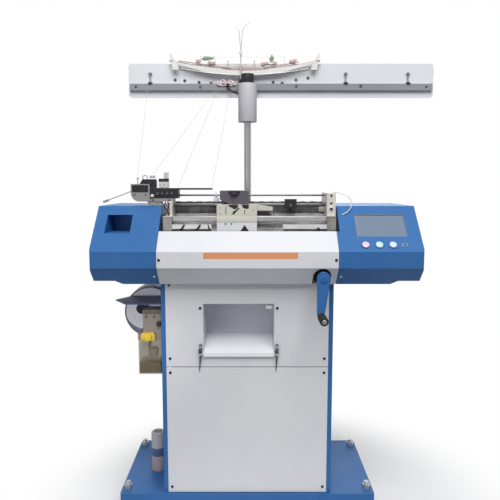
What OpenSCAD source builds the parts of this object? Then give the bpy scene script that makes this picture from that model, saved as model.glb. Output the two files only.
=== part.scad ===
// Small V-bed knitting machine on a pedestal column, with a yarn rack on a post.
// Millimetres, +Z up, the front faces -Y. Pieces are drawn with X from the middle of the column and
// Y from the front edge of the plinth, and in_frame() moves them to the origin of the part.

/* [Plinth] */
// Width of the plinth
plinth_w = 840; // [800:1:900]
// Depth of the plinth
plinth_d = 390; // [385:1:420]
// Height of the plinth's top above the floor
plinth_top = 115; // [100:1:130]
// Height of the plinth's skirt
plinth_h = 85; // [60:1:90]
// Sheet thickness of the plinth
plinth_wall = 4; // [3:0.5:6]
// Distance of a foot from the plinth's end
foot_inset_x = 20; // [18:1:40]
// Distance of the feet from the plinth's front and rear edges
foot_inset_y = 40; // [30:1:60]
// Diameter of a foot's pad
foot_pad_d = 40; // [34:1:40]
// Diameter of a foot's stud
foot_stud_d = 16; // [12:1:20]

/* [Column] */
// Width of the column
column_w = 550; // [540:1:560]
// Set-back of the column's front flange from the plinth's edge
column_front = 10; // [8:1:20]
// Depth of the column
column_d = 340; // [335:1:342]
// Height of the column's top above the floor
column_top = 819; // [800:1:840]
// Sheet thickness of the column
column_sheet = 3; // [2:0.5:4]
// Width of the front flanges
flange_w = 32; // [25:1:40]
// Width of the white front panels
panel_w = 521; // [515:1:530]
// Thickness of the front panels
panel_t = 2; // [1.5:0.5:3]
// Height of the seam between the two panels
panel_seam_z = 544; // [500:1:560]

/* [Discharge] */
// Width of the discharge opening
chute_w = 226; // [200:1:240]
// Middle of the opening from the column's middle
chute_x = -27; // [-40:1:0]
// Height of the opening's lower edge
chute_low = 588; // [575:1:600]
// Height of the opening
chute_h = 163; // [140:1:170]
// Depth of the box behind the opening
chute_d = 132; // [120:1:150]
// Sheet thickness of the box and the tray
chute_sheet = 2; // [1.5:0.5:3]
// Rise of the tray from front to back
tray_rise = 27; // [15:1:40]

/* [Head] */
// Height of the lower fold of the covers above the column's top
fold_low_rise = 58; // [50:1:65]
// Height of the covers' upright front face
face_h = 50; // [40:1:60]
// Height of the slope above the upright face
slope_rise = 133; // [125:1:140]
// How far the front face stands out before the plinth's edge
face_out = 72; // [68:1:80]
// Rear face of the head from the plinth's front edge
head_back = 355; // [353:1:370]
// Sheet thickness of the covers
cover_wall = 3; // [2:0.5:3.5]
// Outer end of the left cover
left_end = 476; // [450:1:490]
// Outer end of the right cover
right_end = 535; // [525:1:560]
// Seam between the front cover and the left cover
left_seam = 274; // [265:1:280]
// Seam between the front cover and the right cover
right_seam = 277; // [265:1:280]
// Inner wall of the right cover beside the end block
right_inner = 287; // [285:1:295]
// Rise of the front cover's upper edge above the upper fold
front_edge_rise = 57; // [45:1:60]
// Height of the step in the side covers' lower edge
step_h = 12; // [8:1:14]
// Width of the step in the side covers' lower edge
step_w = 66; // [50:1:75]
// Length of the slanted end of the step
step_slant = 22; // [10:1:26]
// Width of the pocket in the left cover
pocket_w = 79; // [60:1:90]
// Height of the pocket
pocket_h = 55; // [45:1:60]
// Depth of the pocket's floor
pocket_d = 128; // [100:1:140]

/* [Controls] */
// Width of the screen window
screen_w = 157; // [140:1:170]
// Length of the screen window up the slope
screen_l = 92; // [80:1:100]
// Diameter of a button cap
button_d = 23; // [18:1:24]
// Travel of a button
button_travel = 3; // [2:0.5:4]
// Spacing of the buttons
button_pitch = 41.5; // [36:0.5:45]

/* [Crank] */
// Place of the crank shaft from the column's middle
crank_x = 230; // [225:1:235]
// Height of the crank shaft above the column's top
crank_rise = 29; // [28:1:32]
// Length of the crank arm between its axes
crank_len = 112; // [90:1:125]
// Diameter of the crank shaft
crank_shaft_d = 20; // [16:1:22]
// Diameter of the grip
grip_d = 26; // [22:1:30]
// Length of the grip
grip_len = 84; // [70:1:95]
// Lean of the hanging crank to the left, in degrees
crank_lean = 4; // [0:1:8]

/* [Needle beds] */
// Inner face of the left end block from the column's middle
bed_left = 235; // [228:1:240]
// Inner face of the right end block from the column's middle
bed_right = 250; // [250:1:254]
// Thickness of an end block
block_t = 28; // [24:1:30]
// Length of a bed down its slope
bed_l = 130; // [110:1:135]
// Thickness of a bed
bed_t = 14; // [10:1:18]
// Number of needles in each bed
needle_count = 40; // [10:1:48]
// Spacing of the needles
needle_pitch = 5; // [4:0.5:5]
// Thickness of a needle
needle_t = 1.4; // [1:0.1:2]
// Width of a carriage rail
rail_w = 14; // [10:1:15]
// Height of a carriage rail
rail_h = 19; // [15:1:22]

/* [Carriage] */
// Width of the carriage's cam blocks
cam_w = 126; // [110:1:130]
// Place of the carriage from the column's middle
carriage_x = -32; // [-40:1:0]
// Height of the cam blocks
cam_h = 36; // [30:1:38]
// Width of the bridge over the beds
bridge_w = 91; // [70:1:96]

/* [Yarn rack] */
// Diameter of the post
post_d = 25; // [20:1:30]
// Distance of the post from the plinth's front edge
post_y = 330; // [325:1:333]
// Height of the sleeve's lower end above the floor
sleeve_low = 1353; // [1340:1:1365]
// Height of the sleeve
sleeve_h = 135; // [125:1:145]
// Diameter of the sleeve
sleeve_d = 67; // [55:1:70]
// Length of the rack plate
rack_w = 1120; // [1000:1:1200]
// Right end of the rack plate
rack_right = 683; // [660:1:700]
// Height of the rack plate
rack_h = 122; // [100:1:130]
// Height of the rack plate's lower edge above the floor
rack_low = 1446; // [1430:1:1460]
// Thickness of the rack plate
rack_t = 3; // [2:0.5:5]
// Height of the bar along the rack
bar_h = 24; // [18:1:30]
// Thickness of the bar along the rack
bar_t = 12; // [8:1:14]
// Half length of the tension bow
bow_reach = 274; // [240:1:280]
// Sag of the tension bow
bow_sag = 32; // [20:1:45]

/* [Side fittings] */
// Diameter of the blower's drum
blower_d = 180; // [160:1:186]
// Depth of the blower's drum
blower_len = 90; // [70:1:100]
// Width of the oil tank
tank_w = 80; // [60:1:85]
// Depth of the oil tank
tank_d = 80; // [60:1:90]
// Height of the oil tank
tank_h = 114; // [100:1:125]
// Diameter of the thread spool
spool_d = 48; // [40:1:55]
// Height of the thread spool
spool_h = 143; // [120:1:150]

/* [Hidden] */
$fn = 64;
cut = 1;
touch_gap = 0.3;
bore_gap = 0.05;

// Colours
white_paint = [0.87, 0.88, 0.9];
blue_paint = [0.16, 0.38, 0.64];
steel = [0.72, 0.73, 0.75];
dark = [0.13, 0.13, 0.15];
cream = [0.86, 0.84, 0.77];
grey = [0.55, 0.56, 0.58];

// Heights and depths that several pieces share
column_back = column_front + column_d;
head_low = column_top;
fold_low = head_low + fold_low_rise;
fold_high = fold_low + face_h;
head_top = fold_high + slope_rise;
face_y = -face_out;
bevel_foot_y = face_y + fold_low_rise;
slope_top_y = face_y + slope_rise;
front_edge_z = fold_high + front_edge_rise;
front_edge_y = face_y + front_edge_rise;
rack_left = rack_right - rack_w;

// The origin lies under the middle of the whole machine
crank_face_gap = 6;
arm_t = 14;
arm_back = face_y - crank_face_gap;
arm_front = arm_back - arm_t;
grip_gap = 1;
grip_front = arm_front - grip_gap - grip_len;
rack_gap = 1;
bar_front = post_y + sleeve_d / 2 + rack_gap;
rack_front = bar_front + bar_t;
origin_x = (rack_right - left_end) / 2;
origin_y = (plinth_d + grip_front) / 2;

// Inset of a closed outline and the outline of a folded sheet, both with mitred corners
function unit_right(a, b) = let (d = b - a) [d[1], -d[0]] / norm(d);
function mitre(m, n) = (m + n) / (1 + m * n);
function inset(p, w) = [
    for (i = [0 : len(p) - 1])
        let (a = p[(i + len(p) - 1) % len(p)], b = p[i], c = p[(i + 1) % len(p)])
        b + w * mitre(unit_right(a, b), unit_right(b, c))
];
function sheet_normal(p, i) =
    i == 0 ? unit_right(p[0], p[1]) :
    i == len(p) - 1 ? unit_right(p[i - 1], p[i]) :
    mitre(unit_right(p[i - 1], p[i]), unit_right(p[i], p[i + 1]));
function folded_sheet(p, t) =
    concat(p, [for (i = [len(p) - 1 : -1 : 0]) p[i] + t * sheet_normal(p, i)]);

// Tube along the points of a route, as rings of eight corners
function route_dir(p, i) =
    let (a = p[max(i - 1, 0)], b = p[min(i + 1, len(p) - 1)], d = b - a) d / norm(d);
function route_side(d) = let (s = cross(d, abs(d[1]) < 0.9 ? [0, 1, 0] : [1, 0, 0])) s / norm(s);
function ring_point(p, i, r, a) =
    let (d = route_dir(p, i), s = route_side(d), t = cross(d, s)) p[i] + r * (cos(a) * s + sin(a) * t);
ring_sides = 8;
module tube(p, r) {
    points = [
        for (i = [0 : len(p) - 1]) for (k = [0 : ring_sides - 1])
            ring_point(p, i, r, 360 * k / ring_sides)
    ];
    walls = [
        for (i = [0 : len(p) - 2]) for (k = [0 : ring_sides - 1])
            let (a = i * ring_sides, b = a + ring_sides, m = (k + 1) % ring_sides)
            each [[a + k, b + k, b + m], [a + k, b + m, a + m]]
    ];
    start = [[for (k = [0 : ring_sides - 1]) k]];
    end = [[for (k = [ring_sides - 1 : -1 : 0]) (len(p) - 1) * ring_sides + k]];
    polyhedron(points, concat(walls, start, end));
}

module in_frame() {
    translate([-origin_x, -origin_y, 0]) children();
}

// A drawing in Y and Z runs along X, and a drawing in X and Z runs along Y
module along_x(x0, x1) {
    translate([x0, 0, 0]) rotate([90, 0, 90]) linear_extrude(x1 - x0) children();
}
module along_y(y0, y1) {
    translate([0, y1, 0]) rotate([90, 0, 0]) linear_extrude(y1 - y0) children();
}
module block(x0, x1, y0, y1, z0, z1) {
    translate([x0, y0, z0]) cube([x1 - x0, y1 - y0, z1 - z0]);
}
module rod_x(x0, x1, y, z, d) {
    translate([x0, y, z]) rotate([0, 90, 0]) cylinder(d = d, h = x1 - x0);
}
module rod_y(x, y0, y1, z, d) {
    translate([x, y0, z]) rotate([-90, 0, 0]) cylinder(d = d, h = y1 - y0);
}
module rod_z(x, y, z0, z1, d) {
    translate([x, y, z0]) cylinder(d = d, h = z1 - z0);
}

// Local frame on the covers' slope: Y runs up the slope and Z out of it, from the upper fold
module on_slope(x, up) {
    translate([x, face_y, fold_high]) rotate([45, 0, 0]) translate([0, up, 0]) children();
}
module on_bevel(x, up) {
    translate([x, bevel_foot_y, head_low]) rotate([135, 0, 0]) translate([0, up, 0]) children();
}

// Rounded rectangle in plan or elevation
module round_rect(x0, x1, y0, y1, r) {
    translate([x0 + r, y0]) square([x1 - x0 - 2 * r, y1 - y0]);
    translate([x0, y0 + r]) square([x1 - x0, y1 - y0 - 2 * r]);
    for (x = [x0 + r, x1 - r]) for (y = [y0 + r, y1 - r]) translate([x, y]) circle(r);
}

// Plinth and feet
plinth_round = 8;
foot_pad_h = 12;
foot_nut_h = 13;
foot_nut_d = 27;
foot_stud_top = 10;
foot_hole_gap = 0.5;
foot_x = plinth_w / 2 - foot_inset_x;
foot_ys = [foot_inset_y, plinth_d - foot_inset_y];
plinth_low = plinth_top - plinth_h;

module base_plinth() {
    color(blue_paint) in_frame() difference() {
        translate([0, 0, plinth_low]) linear_extrude(plinth_h)
            round_rect(-plinth_w / 2, plinth_w / 2, 0, plinth_d, plinth_round);
        block(-plinth_w / 2 + plinth_wall, plinth_w / 2 - plinth_wall,
            plinth_wall, plinth_d - plinth_wall, plinth_low - cut, plinth_top - plinth_wall);
        for (x = [-foot_x, foot_x]) for (y = foot_ys)
            rod_z(x, y, plinth_low, plinth_top + cut, foot_stud_d + 2 * foot_hole_gap);
    }
}

// Each foot is a pad with a stud, held under and over the plinth's sheet by two nuts
module leveling_feet() {
    color(steel) in_frame() for (x = [-foot_x, foot_x]) for (y = foot_ys) {
        rod_z(x, y, 0, foot_pad_h, foot_pad_d);
        rod_z(x, y, foot_pad_h, plinth_top + foot_nut_h + foot_stud_top, foot_stud_d);
        for (z = [plinth_top - plinth_wall - foot_nut_h, plinth_top])
            translate([x, y, z]) cylinder(d = foot_nut_d, h = foot_nut_h, $fn = 6);
    }
}

// Column: a folded frame, open at the front, closed by two white panels
panel_gap = 2;
panel_top = column_top - panel_gap;
column_inner = column_w / 2 - column_sheet;

module column_frame() {
    color(blue_paint) in_frame() difference() {
        block(-column_w / 2, column_w / 2, column_front, column_back, plinth_top, column_top);
        block(-column_inner, column_inner, column_front + column_sheet, column_back - column_sheet,
            plinth_top - cut, column_top + cut);
        block(-column_w / 2 + flange_w, column_w / 2 - flange_w, column_front - cut,
            column_front + 2 * column_sheet,
            plinth_top - cut, column_top + cut);
    }
}
module lower_front_panel() {
    color(white_paint) in_frame()
        block(-panel_w / 2, panel_w / 2, column_front - panel_t, column_front,
            plinth_top + panel_gap, panel_seam_z - panel_gap / 2);
}

chute_left = chute_x - chute_w / 2;
chute_right = chute_x + chute_w / 2;
chute_high = chute_low + chute_h;
chute_back = column_front + chute_d;

module upper_front_panel() {
    color(white_paint) in_frame() difference() {
        block(-panel_w / 2, panel_w / 2, column_front - panel_t, column_front,
            panel_seam_z + panel_gap / 2, panel_top);
        block(chute_left, chute_right, column_front - panel_t - cut, column_front + cut, chute_low,
            chute_high);
    }
}

// Discharge box, open to the front and below, with a flange against the back of the panel
chute_flange = 9;
tray_low = 4;
tray_lip_out = 7;
tray_lip_h = 11;
lug_w = 8;
lug_h = 26;
lug_out = 16;
lug_gap = 5;

module chute_box() {
    color(grey) in_frame() difference() {
        union() {
            block(chute_left - chute_sheet, chute_right + chute_sheet, column_front,
                chute_back + chute_sheet,
                chute_low, chute_high + chute_sheet);
            block(chute_left - chute_flange, chute_right + chute_flange, column_front,
                column_front + chute_sheet,
                chute_low, chute_high + chute_flange);
        }
        block(chute_left, chute_right, column_front - cut, chute_back, chute_low - cut, chute_high);
    }
}

// Tray: a sloping sheet with a front lip that hangs before the panel between two dark lugs
tray_path = [
    [column_front - panel_t - tray_lip_out, chute_low + tray_low - tray_lip_h],
    [column_front - panel_t - tray_lip_out, chute_low + tray_low],
    [chute_back - touch_gap, chute_low + tray_low + tray_rise]
];
module chute_tray() {
    color(white_paint) in_frame() {
        along_x(chute_left + touch_gap, chute_right - touch_gap) polygon(folded_sheet(tray_path,
            -chute_sheet));
        for (x = [chute_left - lug_gap - lug_w, chute_right + lug_gap])
            block(x, x + lug_w, column_front - panel_t - lug_out, column_front - panel_t,
                chute_low, chute_low + lug_h);
        for (x = [chute_left - lug_gap - touch_gap, chute_right - touch_gap - touch_gap])
            block(x, x + lug_gap + 2 * touch_gap, column_front - panel_t - tray_lip_out - chute_sheet,
                column_front - panel_t - tray_lip_out + chute_sheet, chute_low, chute_low + tray_low);
    }
}

// Head base plate, which carries the end blocks, the drive and the post
base_t = 8;
base_left = left_end - step_w - step_slant;
base_right = right_end - step_w - step_slant;
base_front = -6;
base_back = head_back - cover_wall;
base_top = head_low + base_t;
motor_w = 60;
motor_len = 90;
motor_gap = 4;
motor_front = 252;
crank_z = head_low + crank_rise;

module head_base() {
    color(grey) in_frame() difference() {
        block(-base_left, base_right, base_front, base_back, head_low, base_top);
        block(crank_x - motor_w / 2 - motor_gap, crank_x + motor_w / 2 + motor_gap,
            motor_front - touch_gap, motor_front + motor_len + motor_gap, head_low - cut, base_top + cut);
    }
}

// Covers of the head, folded from sheet to one side profile with 45 degree faces
function head_profile(low) = [
    [face_y + fold_low - low, low],
    [face_y, fold_low],
    [face_y, fold_high],
    [slope_top_y, head_top],
    [head_back, head_top],
    [head_back, low]
];
front_path = [
    [bevel_foot_y, head_low],
    [face_y, fold_low],
    [face_y, fold_high],
    [front_edge_y, front_edge_z]
];
front_lip = 9;
cover_round = 8;
seam_gap = 0.5;

module cover_shell(x0, x1) {
    difference() {
        intersection() {
            along_x(x0, x1) polygon(head_profile(head_low));
            translate([0, 0, head_low - cut]) linear_extrude(head_top - head_low + 2 * cut)
                round_rect(x0, x1, face_y, head_back, cover_round);
        }
        along_x(x0 + cover_wall, x1 - cover_wall)
            polygon(inset(head_profile(head_low - cover_wall - cut), cover_wall));
    }
}

// Cut that leaves the step in the lower edge, drawn from the outer end at zero towards the middle
module step_cut() {
    along_y(face_y - cut, head_back + cut) polygon([
        [-cut, head_low - cut],
        [-cut, head_low + step_h],
        [step_w, head_low + step_h],
        [step_w + step_slant, head_low],
        [step_w + step_slant, head_low - cut]
    ]);
}

// Room for the base plate, on which the inner walls of the side covers stand
module base_room() {
    block(-base_left - touch_gap, base_right + touch_gap, base_front - touch_gap, base_back,
        head_low - cut, base_top);
}

// The front apron of a side cover runs on from its inner wall to the seam with the front cover
module cover_apron(x0, x1) {
    along_x(x0, x1) polygon(folded_sheet(front_path, cover_wall));
}

left_inner = left_seam + seam_gap / 2;
pocket_outer_x = 35;
pocket_left = -left_end + pocket_outer_x;
pocket_rise = 51;
pocket_low = fold_high + pocket_rise;
pocket_mouth_y = face_y + pocket_rise;

module left_cover() {
    color(blue_paint) in_frame() difference() {
        union() {
            cover_shell(-left_end, -left_inner);
            cover_apron(-left_inner - cover_round, -left_inner);
            intersection() {
                along_x(-left_end, -left_inner) polygon(head_profile(head_low));
                block(pocket_left - cover_wall, pocket_left + pocket_w + cover_wall, face_y,
                    pocket_mouth_y + pocket_d + cover_wall, pocket_low - cover_wall,
                    pocket_low + pocket_h + cover_wall);
            }
        }
        block(pocket_left, pocket_left + pocket_w, face_y, pocket_mouth_y + pocket_d,
            pocket_low, pocket_low + pocket_h);
        translate([-left_end, 0, 0]) step_cut();
        base_room();
    }
}

// Controls on the right cover
screen_x = 416;
screen_up = 61;
button_x = 360;
button_up = 27;
button_xs = [for (i = [0 : 2]) button_x + i * button_pitch];
bezel_d = 28;
bezel_h = 2;
barrel_d = 27;
barrel_l = 32;
cap_gap = 0.25;
cap_seat = 5;
glass_margin = 5;
glass_t = 4;
unit_margin = 2;
unit_t = 28;
hole_gap = 0.3;

module right_cover() {
    color(blue_paint) in_frame() difference() {
        union() {
            cover_shell(right_inner, right_end);
            cover_apron(right_seam + seam_gap / 2, right_inner + cover_round);
        }
        translate([right_end, 0, 0]) mirror([1, 0, 0]) step_cut();
        base_room();
        on_slope(screen_x, screen_up) translate([-screen_w / 2, 0, -2 * cover_wall])
            cube([screen_w, screen_l, 3 * cover_wall]);
        for (x = button_xs) on_slope(x, button_up) translate([0, 0, -2 * cover_wall])
            cylinder(d = barrel_d + 2 * hole_gap, h = 3 * cover_wall);
    }
}

// The touch screen is set behind the window: a glass plate on a flat unit
module touch_screen() {
    color(grey) in_frame() on_slope(screen_x, screen_up) {
        translate([-screen_w / 2 - glass_margin, -glass_margin, -cover_wall - glass_t])
            cube([screen_w + 2 * glass_margin, screen_l + 2 * glass_margin, glass_t]);
        translate([-screen_w / 2 - unit_margin, -unit_margin, -cover_wall - glass_t - unit_t])
            cube([screen_w + 2 * unit_margin, screen_l + 2 * unit_margin, unit_t]);
    }
}

// Each button has a bezel with a barrel behind the sheet, and a cap that travels in it
module button_bodies() {
    color(steel) in_frame() for (x = button_xs) on_slope(x, button_up) difference() {
        union() {
            cylinder(d = bezel_d, h = bezel_h);
            translate([0, 0, -barrel_l]) cylinder(d = barrel_d, h = barrel_l);
        }
        translate([0, 0, -cap_seat - button_travel]) cylinder(d = button_d + 2 * cap_gap,
            h = cap_seat + button_travel + bezel_h + cut);
    }
}
module button_cap(i, paint) {
    color(paint) in_frame() on_slope(button_xs[i], button_up) translate([0, 0, -cap_seat])
        cylinder(d = button_d, h = cap_seat + bezel_h + button_travel);
}
module stop_button() {
    button_cap(0, [0.9, 0.82, 0.82]);
}
module start_button() {
    button_cap(1, [0.72, 0.9, 0.82]);
}
module reset_button() {
    button_cap(2, [0.86, 0.9, 0.96]);
}

// White front cover, with an arch cut from its bevel for the crank shaft
arch_gap = 2;
arch_d = 2 * (fold_low - crank_z - arch_gap);
module front_cover() {
    color(white_paint) in_frame() difference() {
        along_x(-left_seam + seam_gap / 2, right_seam - seam_gap / 2) polygon(folded_sheet(
            concat(front_path, [[front_edge_y + front_lip, front_edge_z]]), cover_wall));
        rod_y(crank_x, face_y - cut, 0, crank_z, arch_d);
        block(crank_x - arch_d / 2, crank_x + arch_d / 2, face_y - cut, 0, head_low - cut, crank_z);
    }
}

// Rear cover between the side covers, with a hole for the post
rear_edge_z = 960;
rear_shelf = 140;
post_gap = 1;
module rear_cover() {
    color(white_paint) in_frame() difference() {
        along_x(-left_inner + seam_gap, right_inner - seam_gap) polygon(folded_sheet([
            [head_back - rear_shelf, rear_edge_z],
            [head_back, rear_edge_z],
            [head_back, head_low]
        ], cover_wall));
        rod_z(0, post_y, rear_edge_z - 2 * cover_wall, rear_edge_z + cut, post_d + 2 * post_gap);
    }
}

// Screws of the panels, the covers and the right end block
screw_d = 9;
screw_h = 2;
panel_screw_x = 248;
panel_screw_drop = 6;
seam_screw_up = 28;
seam_screw_down = 19;
panel_screw_rise = 21;
panel_screw_zs = [
    panel_top - panel_screw_drop,
    panel_seam_z + seam_screw_up,
    panel_seam_z - seam_screw_down,
    plinth_top + panel_screw_rise
];
chute_screw_gap = 10;
chute_screw_drop = 14;
chute_screw_z = chute_high - chute_screw_drop;
cover_screw_inset = 8;
cover_screw_z = (fold_low + fold_high) / 2;
bevel_screw_up = 40;
bevel_screw_inset = 11;
module panel_screws() {
    face = column_front - panel_t;
    color(dark) in_frame() {
        for (x = [-panel_screw_x, panel_screw_x]) for (z = panel_screw_zs)
            rod_y(x, face - screw_h, face, z, screw_d);
        for (x = [chute_left - chute_screw_gap, chute_right + chute_screw_gap])
            rod_y(x, face - screw_h, face, chute_screw_z, screw_d);
        for (x = [-left_seam + cover_screw_inset, right_seam - cover_screw_inset])
            rod_y(x, face_y - screw_h, face_y, cover_screw_z, screw_d);
        for (x = [-left_seam - bevel_screw_inset, right_seam + bevel_screw_inset])
            on_bevel(x, bevel_screw_up) cylinder(d = screw_d, h = screw_h);
    }
}

// Needle beds: two grooved plates at 45 degrees that meet at the needle gap
gap_y = 78;
gap_half = 6;
bed_edge_z = 1036;
groove_gap = 0.15;
groove_depth = 3;
groove_w = needle_t + 2 * groove_gap;
needle_tail = 118;
needle_out = 5;
needle_hook_h = 1.6;
needle_hook_l = 2.4;
butt_at = 66;
butt_l = 5;
butt_h = 5;
bed_mid = (bed_right - bed_left) / 2;

// Local frame on a bed: Y runs up to the needle gap and Z out of the bed's face
module on_front_bed() {
    translate([0, gap_y - gap_half, bed_edge_z]) rotate([45, 0, 0]) children();
}
module on_rear_bed() {
    translate([0, gap_y + gap_half, bed_edge_z]) mirror([0, 1, 0]) rotate([45, 0, 0]) children();
}
function needle_x(i, shift) = bed_mid + (i - (needle_count - 1) / 2 + shift) * needle_pitch;
front_shift_share = -0.25;
rear_shift_share = 0.25;

module bed_plate(shift) {
    difference() {
        along_x(-bed_left, bed_right) polygon([[-bed_l, 0], [-bed_l, -bed_t], [-bed_t, -bed_t], [0, 0]]);
        for (i = [0 : needle_count - 1])
            translate([needle_x(i, shift) - groove_w / 2, -bed_l - cut, -groove_depth])
                cube([groove_w, bed_l + 2 * cut, groove_depth + cut]);
    }
}
module needle_row(shift) {
    for (i = [0 : needle_count - 1]) along_x(needle_x(i, shift) - needle_t / 2, needle_x(i,
        shift) + needle_t / 2)
        polygon([
            [-needle_tail, -groove_depth],
            [needle_out, -groove_depth],
            [needle_out, needle_hook_h],
            [needle_out - needle_hook_l, needle_hook_h],
            [needle_out - needle_hook_l, 0],
            [-butt_at, 0],
            [-butt_at, butt_h],
            [-butt_at - butt_l, butt_h],
            [-butt_at - butt_l, 0],
            [-needle_tail, 0]
        ]);
}
module front_needle_bed() {
    color(steel) in_frame() on_front_bed() bed_plate(front_shift_share);
}
module rear_needle_bed() {
    color(steel) in_frame() on_rear_bed() bed_plate(rear_shift_share);
}
module needles() {
    color(dark) in_frame() {
        on_front_bed() needle_row(front_shift_share);
        on_rear_bed() needle_row(rear_shift_share);
    }
}

// End blocks: a foot on the base, with a head that holds the rods, and a lug inside the right head
block_front = 6;
block_back = 165;
block_step_z = 1030;
head_front = 20;
head_rear = 150;
right_head_z = 1102;
left_head_z = 1074;
left_head_t = 8;
lug_in = 18;
lug_front = 80;
lug_d = 12;
lug_bottom = 1040;
lug_rise = 22;

module end_block(inner, head_t, top) {
    block(inner, inner + block_t, block_front, block_back, base_top, block_step_z);
    block(inner, inner + head_t, head_front, head_rear, block_step_z, top);
}
module left_end_block() {
    color(cream) in_frame() mirror([1, 0, 0]) end_block(bed_left, left_head_t, left_head_z);
}
module right_end_block() {
    color(cream) in_frame() {
        end_block(bed_right, block_t, right_head_z);
        block(bed_right - lug_in, bed_right + cut, lug_front, lug_front + lug_d, lug_bottom,
            lug_bottom + lug_rise);
    }
}

// Carriage rails before and behind the beds, with short bars at both ends of the needle zone
rail_z = block_step_z - rail_h;
rail_round = 4;
front_rail_y = 16;
rear_rail_y = 2 * gap_y - front_rail_y - rail_w;
bar_y = 10;
bar_w = 6;
bar_z = 990;
bar_rise = 14;
bar_in = 112;
module guide_rails() {
    color(steel) in_frame() {
        carrier_rods();
        for (y = [front_rail_y, rear_rail_y]) along_x(-bed_left, bed_right)
            round_rect(y, y + rail_w, rail_z, block_step_z, rail_round);
        block(-bed_left, -bar_in, bar_y, bar_y + bar_w, bar_z, bar_z + bar_rise);
        block(bar_in, bed_right, bar_y, bar_y + bar_w, bar_z, bar_z + bar_rise);
    }
}

// Rods above the needle gap: the carrier rod between the blocks and a thin rod from the changer
carrier_rod_d = 12;
carrier_rod_y = 60;
carrier_rod_z = 1064;
top_rod_d = 6;
top_rod_y = 78;
top_rod_z = 1094;
top_rod_left = -220;
module carrier_rods() {
    rod_x(-bed_left, bed_right, carrier_rod_y, carrier_rod_z, carrier_rod_d);
    rod_x(top_rod_left, bed_right, top_rod_y, top_rod_z, top_rod_d);
}
brush_y = 94;
brush_t = 9;
brush_low = 1034;
brush_h = 26;
module brush_strip() {
    color(dark) in_frame() block(-bed_left, bed_right, brush_y, brush_y + brush_t, brush_low,
        brush_low + brush_h);
}

// Carriage: cam blocks on both rails, tied by a bridge over the rods
ride_gap = 0.3;
cam_low = block_step_z + ride_gap;
cam_high = cam_low + cam_h;
cam_left = carriage_x - cam_w / 2;
cam_right = carriage_x + cam_w / 2;
cam_front = 9;
cam_d = 35;
cam_rear_front = 2 * gap_y - cam_front - cam_d;
wing_w = 50;
wing_t = 4;
wing_low = 1046;
lip_drop = 16;
lip_gap = 0.3;
slot_depth = 6;
slot_left = 46;
slot_low = 5;
slot_w = 7;
slot_run = 20;
slot_rise = 20;
notch_left = 41;
notch_w = 22;
notch_drop = 11;

// Slanted slot and a notch in the top edge of the front cam block
module cam_recesses() {
    along_y(cam_front - cut, cam_front + slot_depth) {
        polygon([
            [cam_left + slot_left, cam_low + slot_low],
            [cam_left + slot_left + slot_w, cam_low + slot_low],
            [cam_left + slot_left + slot_w + slot_run, cam_low + slot_low + slot_rise],
            [cam_left + slot_left + slot_run, cam_low + slot_low + slot_rise]
        ]);
        polygon([
            [cam_left + notch_left - cut, cam_high + cut],
            [cam_left + notch_left + notch_w / 2, cam_high - notch_drop],
            [cam_left + notch_left + notch_w + cut, cam_high + cut]
        ]);
    }
}
module cam_blocks() {
    color(cream) in_frame() {
        difference() {
            union() {
                block(cam_left, cam_right, cam_front, cam_front + cam_d, cam_low, cam_high);
                block(cam_left, cam_right, cam_front, front_rail_y - lip_gap, cam_low - lip_drop,
                    cam_low + cut);
            }
            cam_recesses();
        }
        along_y(cam_front + cam_d - wing_t, cam_front + cam_d) polygon([
            [cam_right - cut, wing_low],
            [cam_right + wing_w, wing_low],
            [cam_right + wing_w, cam_high - 2 * wing_t],
            [cam_right - cut, cam_high]
        ]);
        block(cam_left, cam_right, cam_rear_front, cam_rear_front + cam_d, cam_low, cam_high);
    }
}
skirt_t = 3;
skirt_low = 975;
skirt_lap = 8;
module carriage_skirt() {
    color(white_paint) in_frame()
        block(cam_left, cam_right, cam_front - skirt_t, cam_front, skirt_low,
            cam_low - lip_drop + skirt_lap);
}

// Bridge over the rods, notched at the front, with the arm that the belt drives
bridge_top_t = 8;
bridge_rise = 43;
bridge_top = cam_high + bridge_rise;
bridge_low = bridge_top - bridge_top_t;
upright_t = 12;
upright_inset = 10;
bridge_x = -40;
bridge_front = cam_front + upright_inset;
bridge_rear = 2 * gap_y - bridge_front;
saddle_w = 36;
saddle_foot_w = 18;
saddle_d = 16;
shoulder_w = 34;
shoulder_h = 15;
drive_w = 30;
drive_y = 190;
drive_t = 12;
belt_r = 15.9;
belt_t = 3;
belt_y = 206;
belt_w = 20;
jaw_gap = 1;
jaw_t = 10;
jaw_reach = 16;
drive_low = crank_z + belt_r - jaw_gap - jaw_t;
jaw_upper = crank_z + belt_r + belt_t + jaw_gap;

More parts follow.
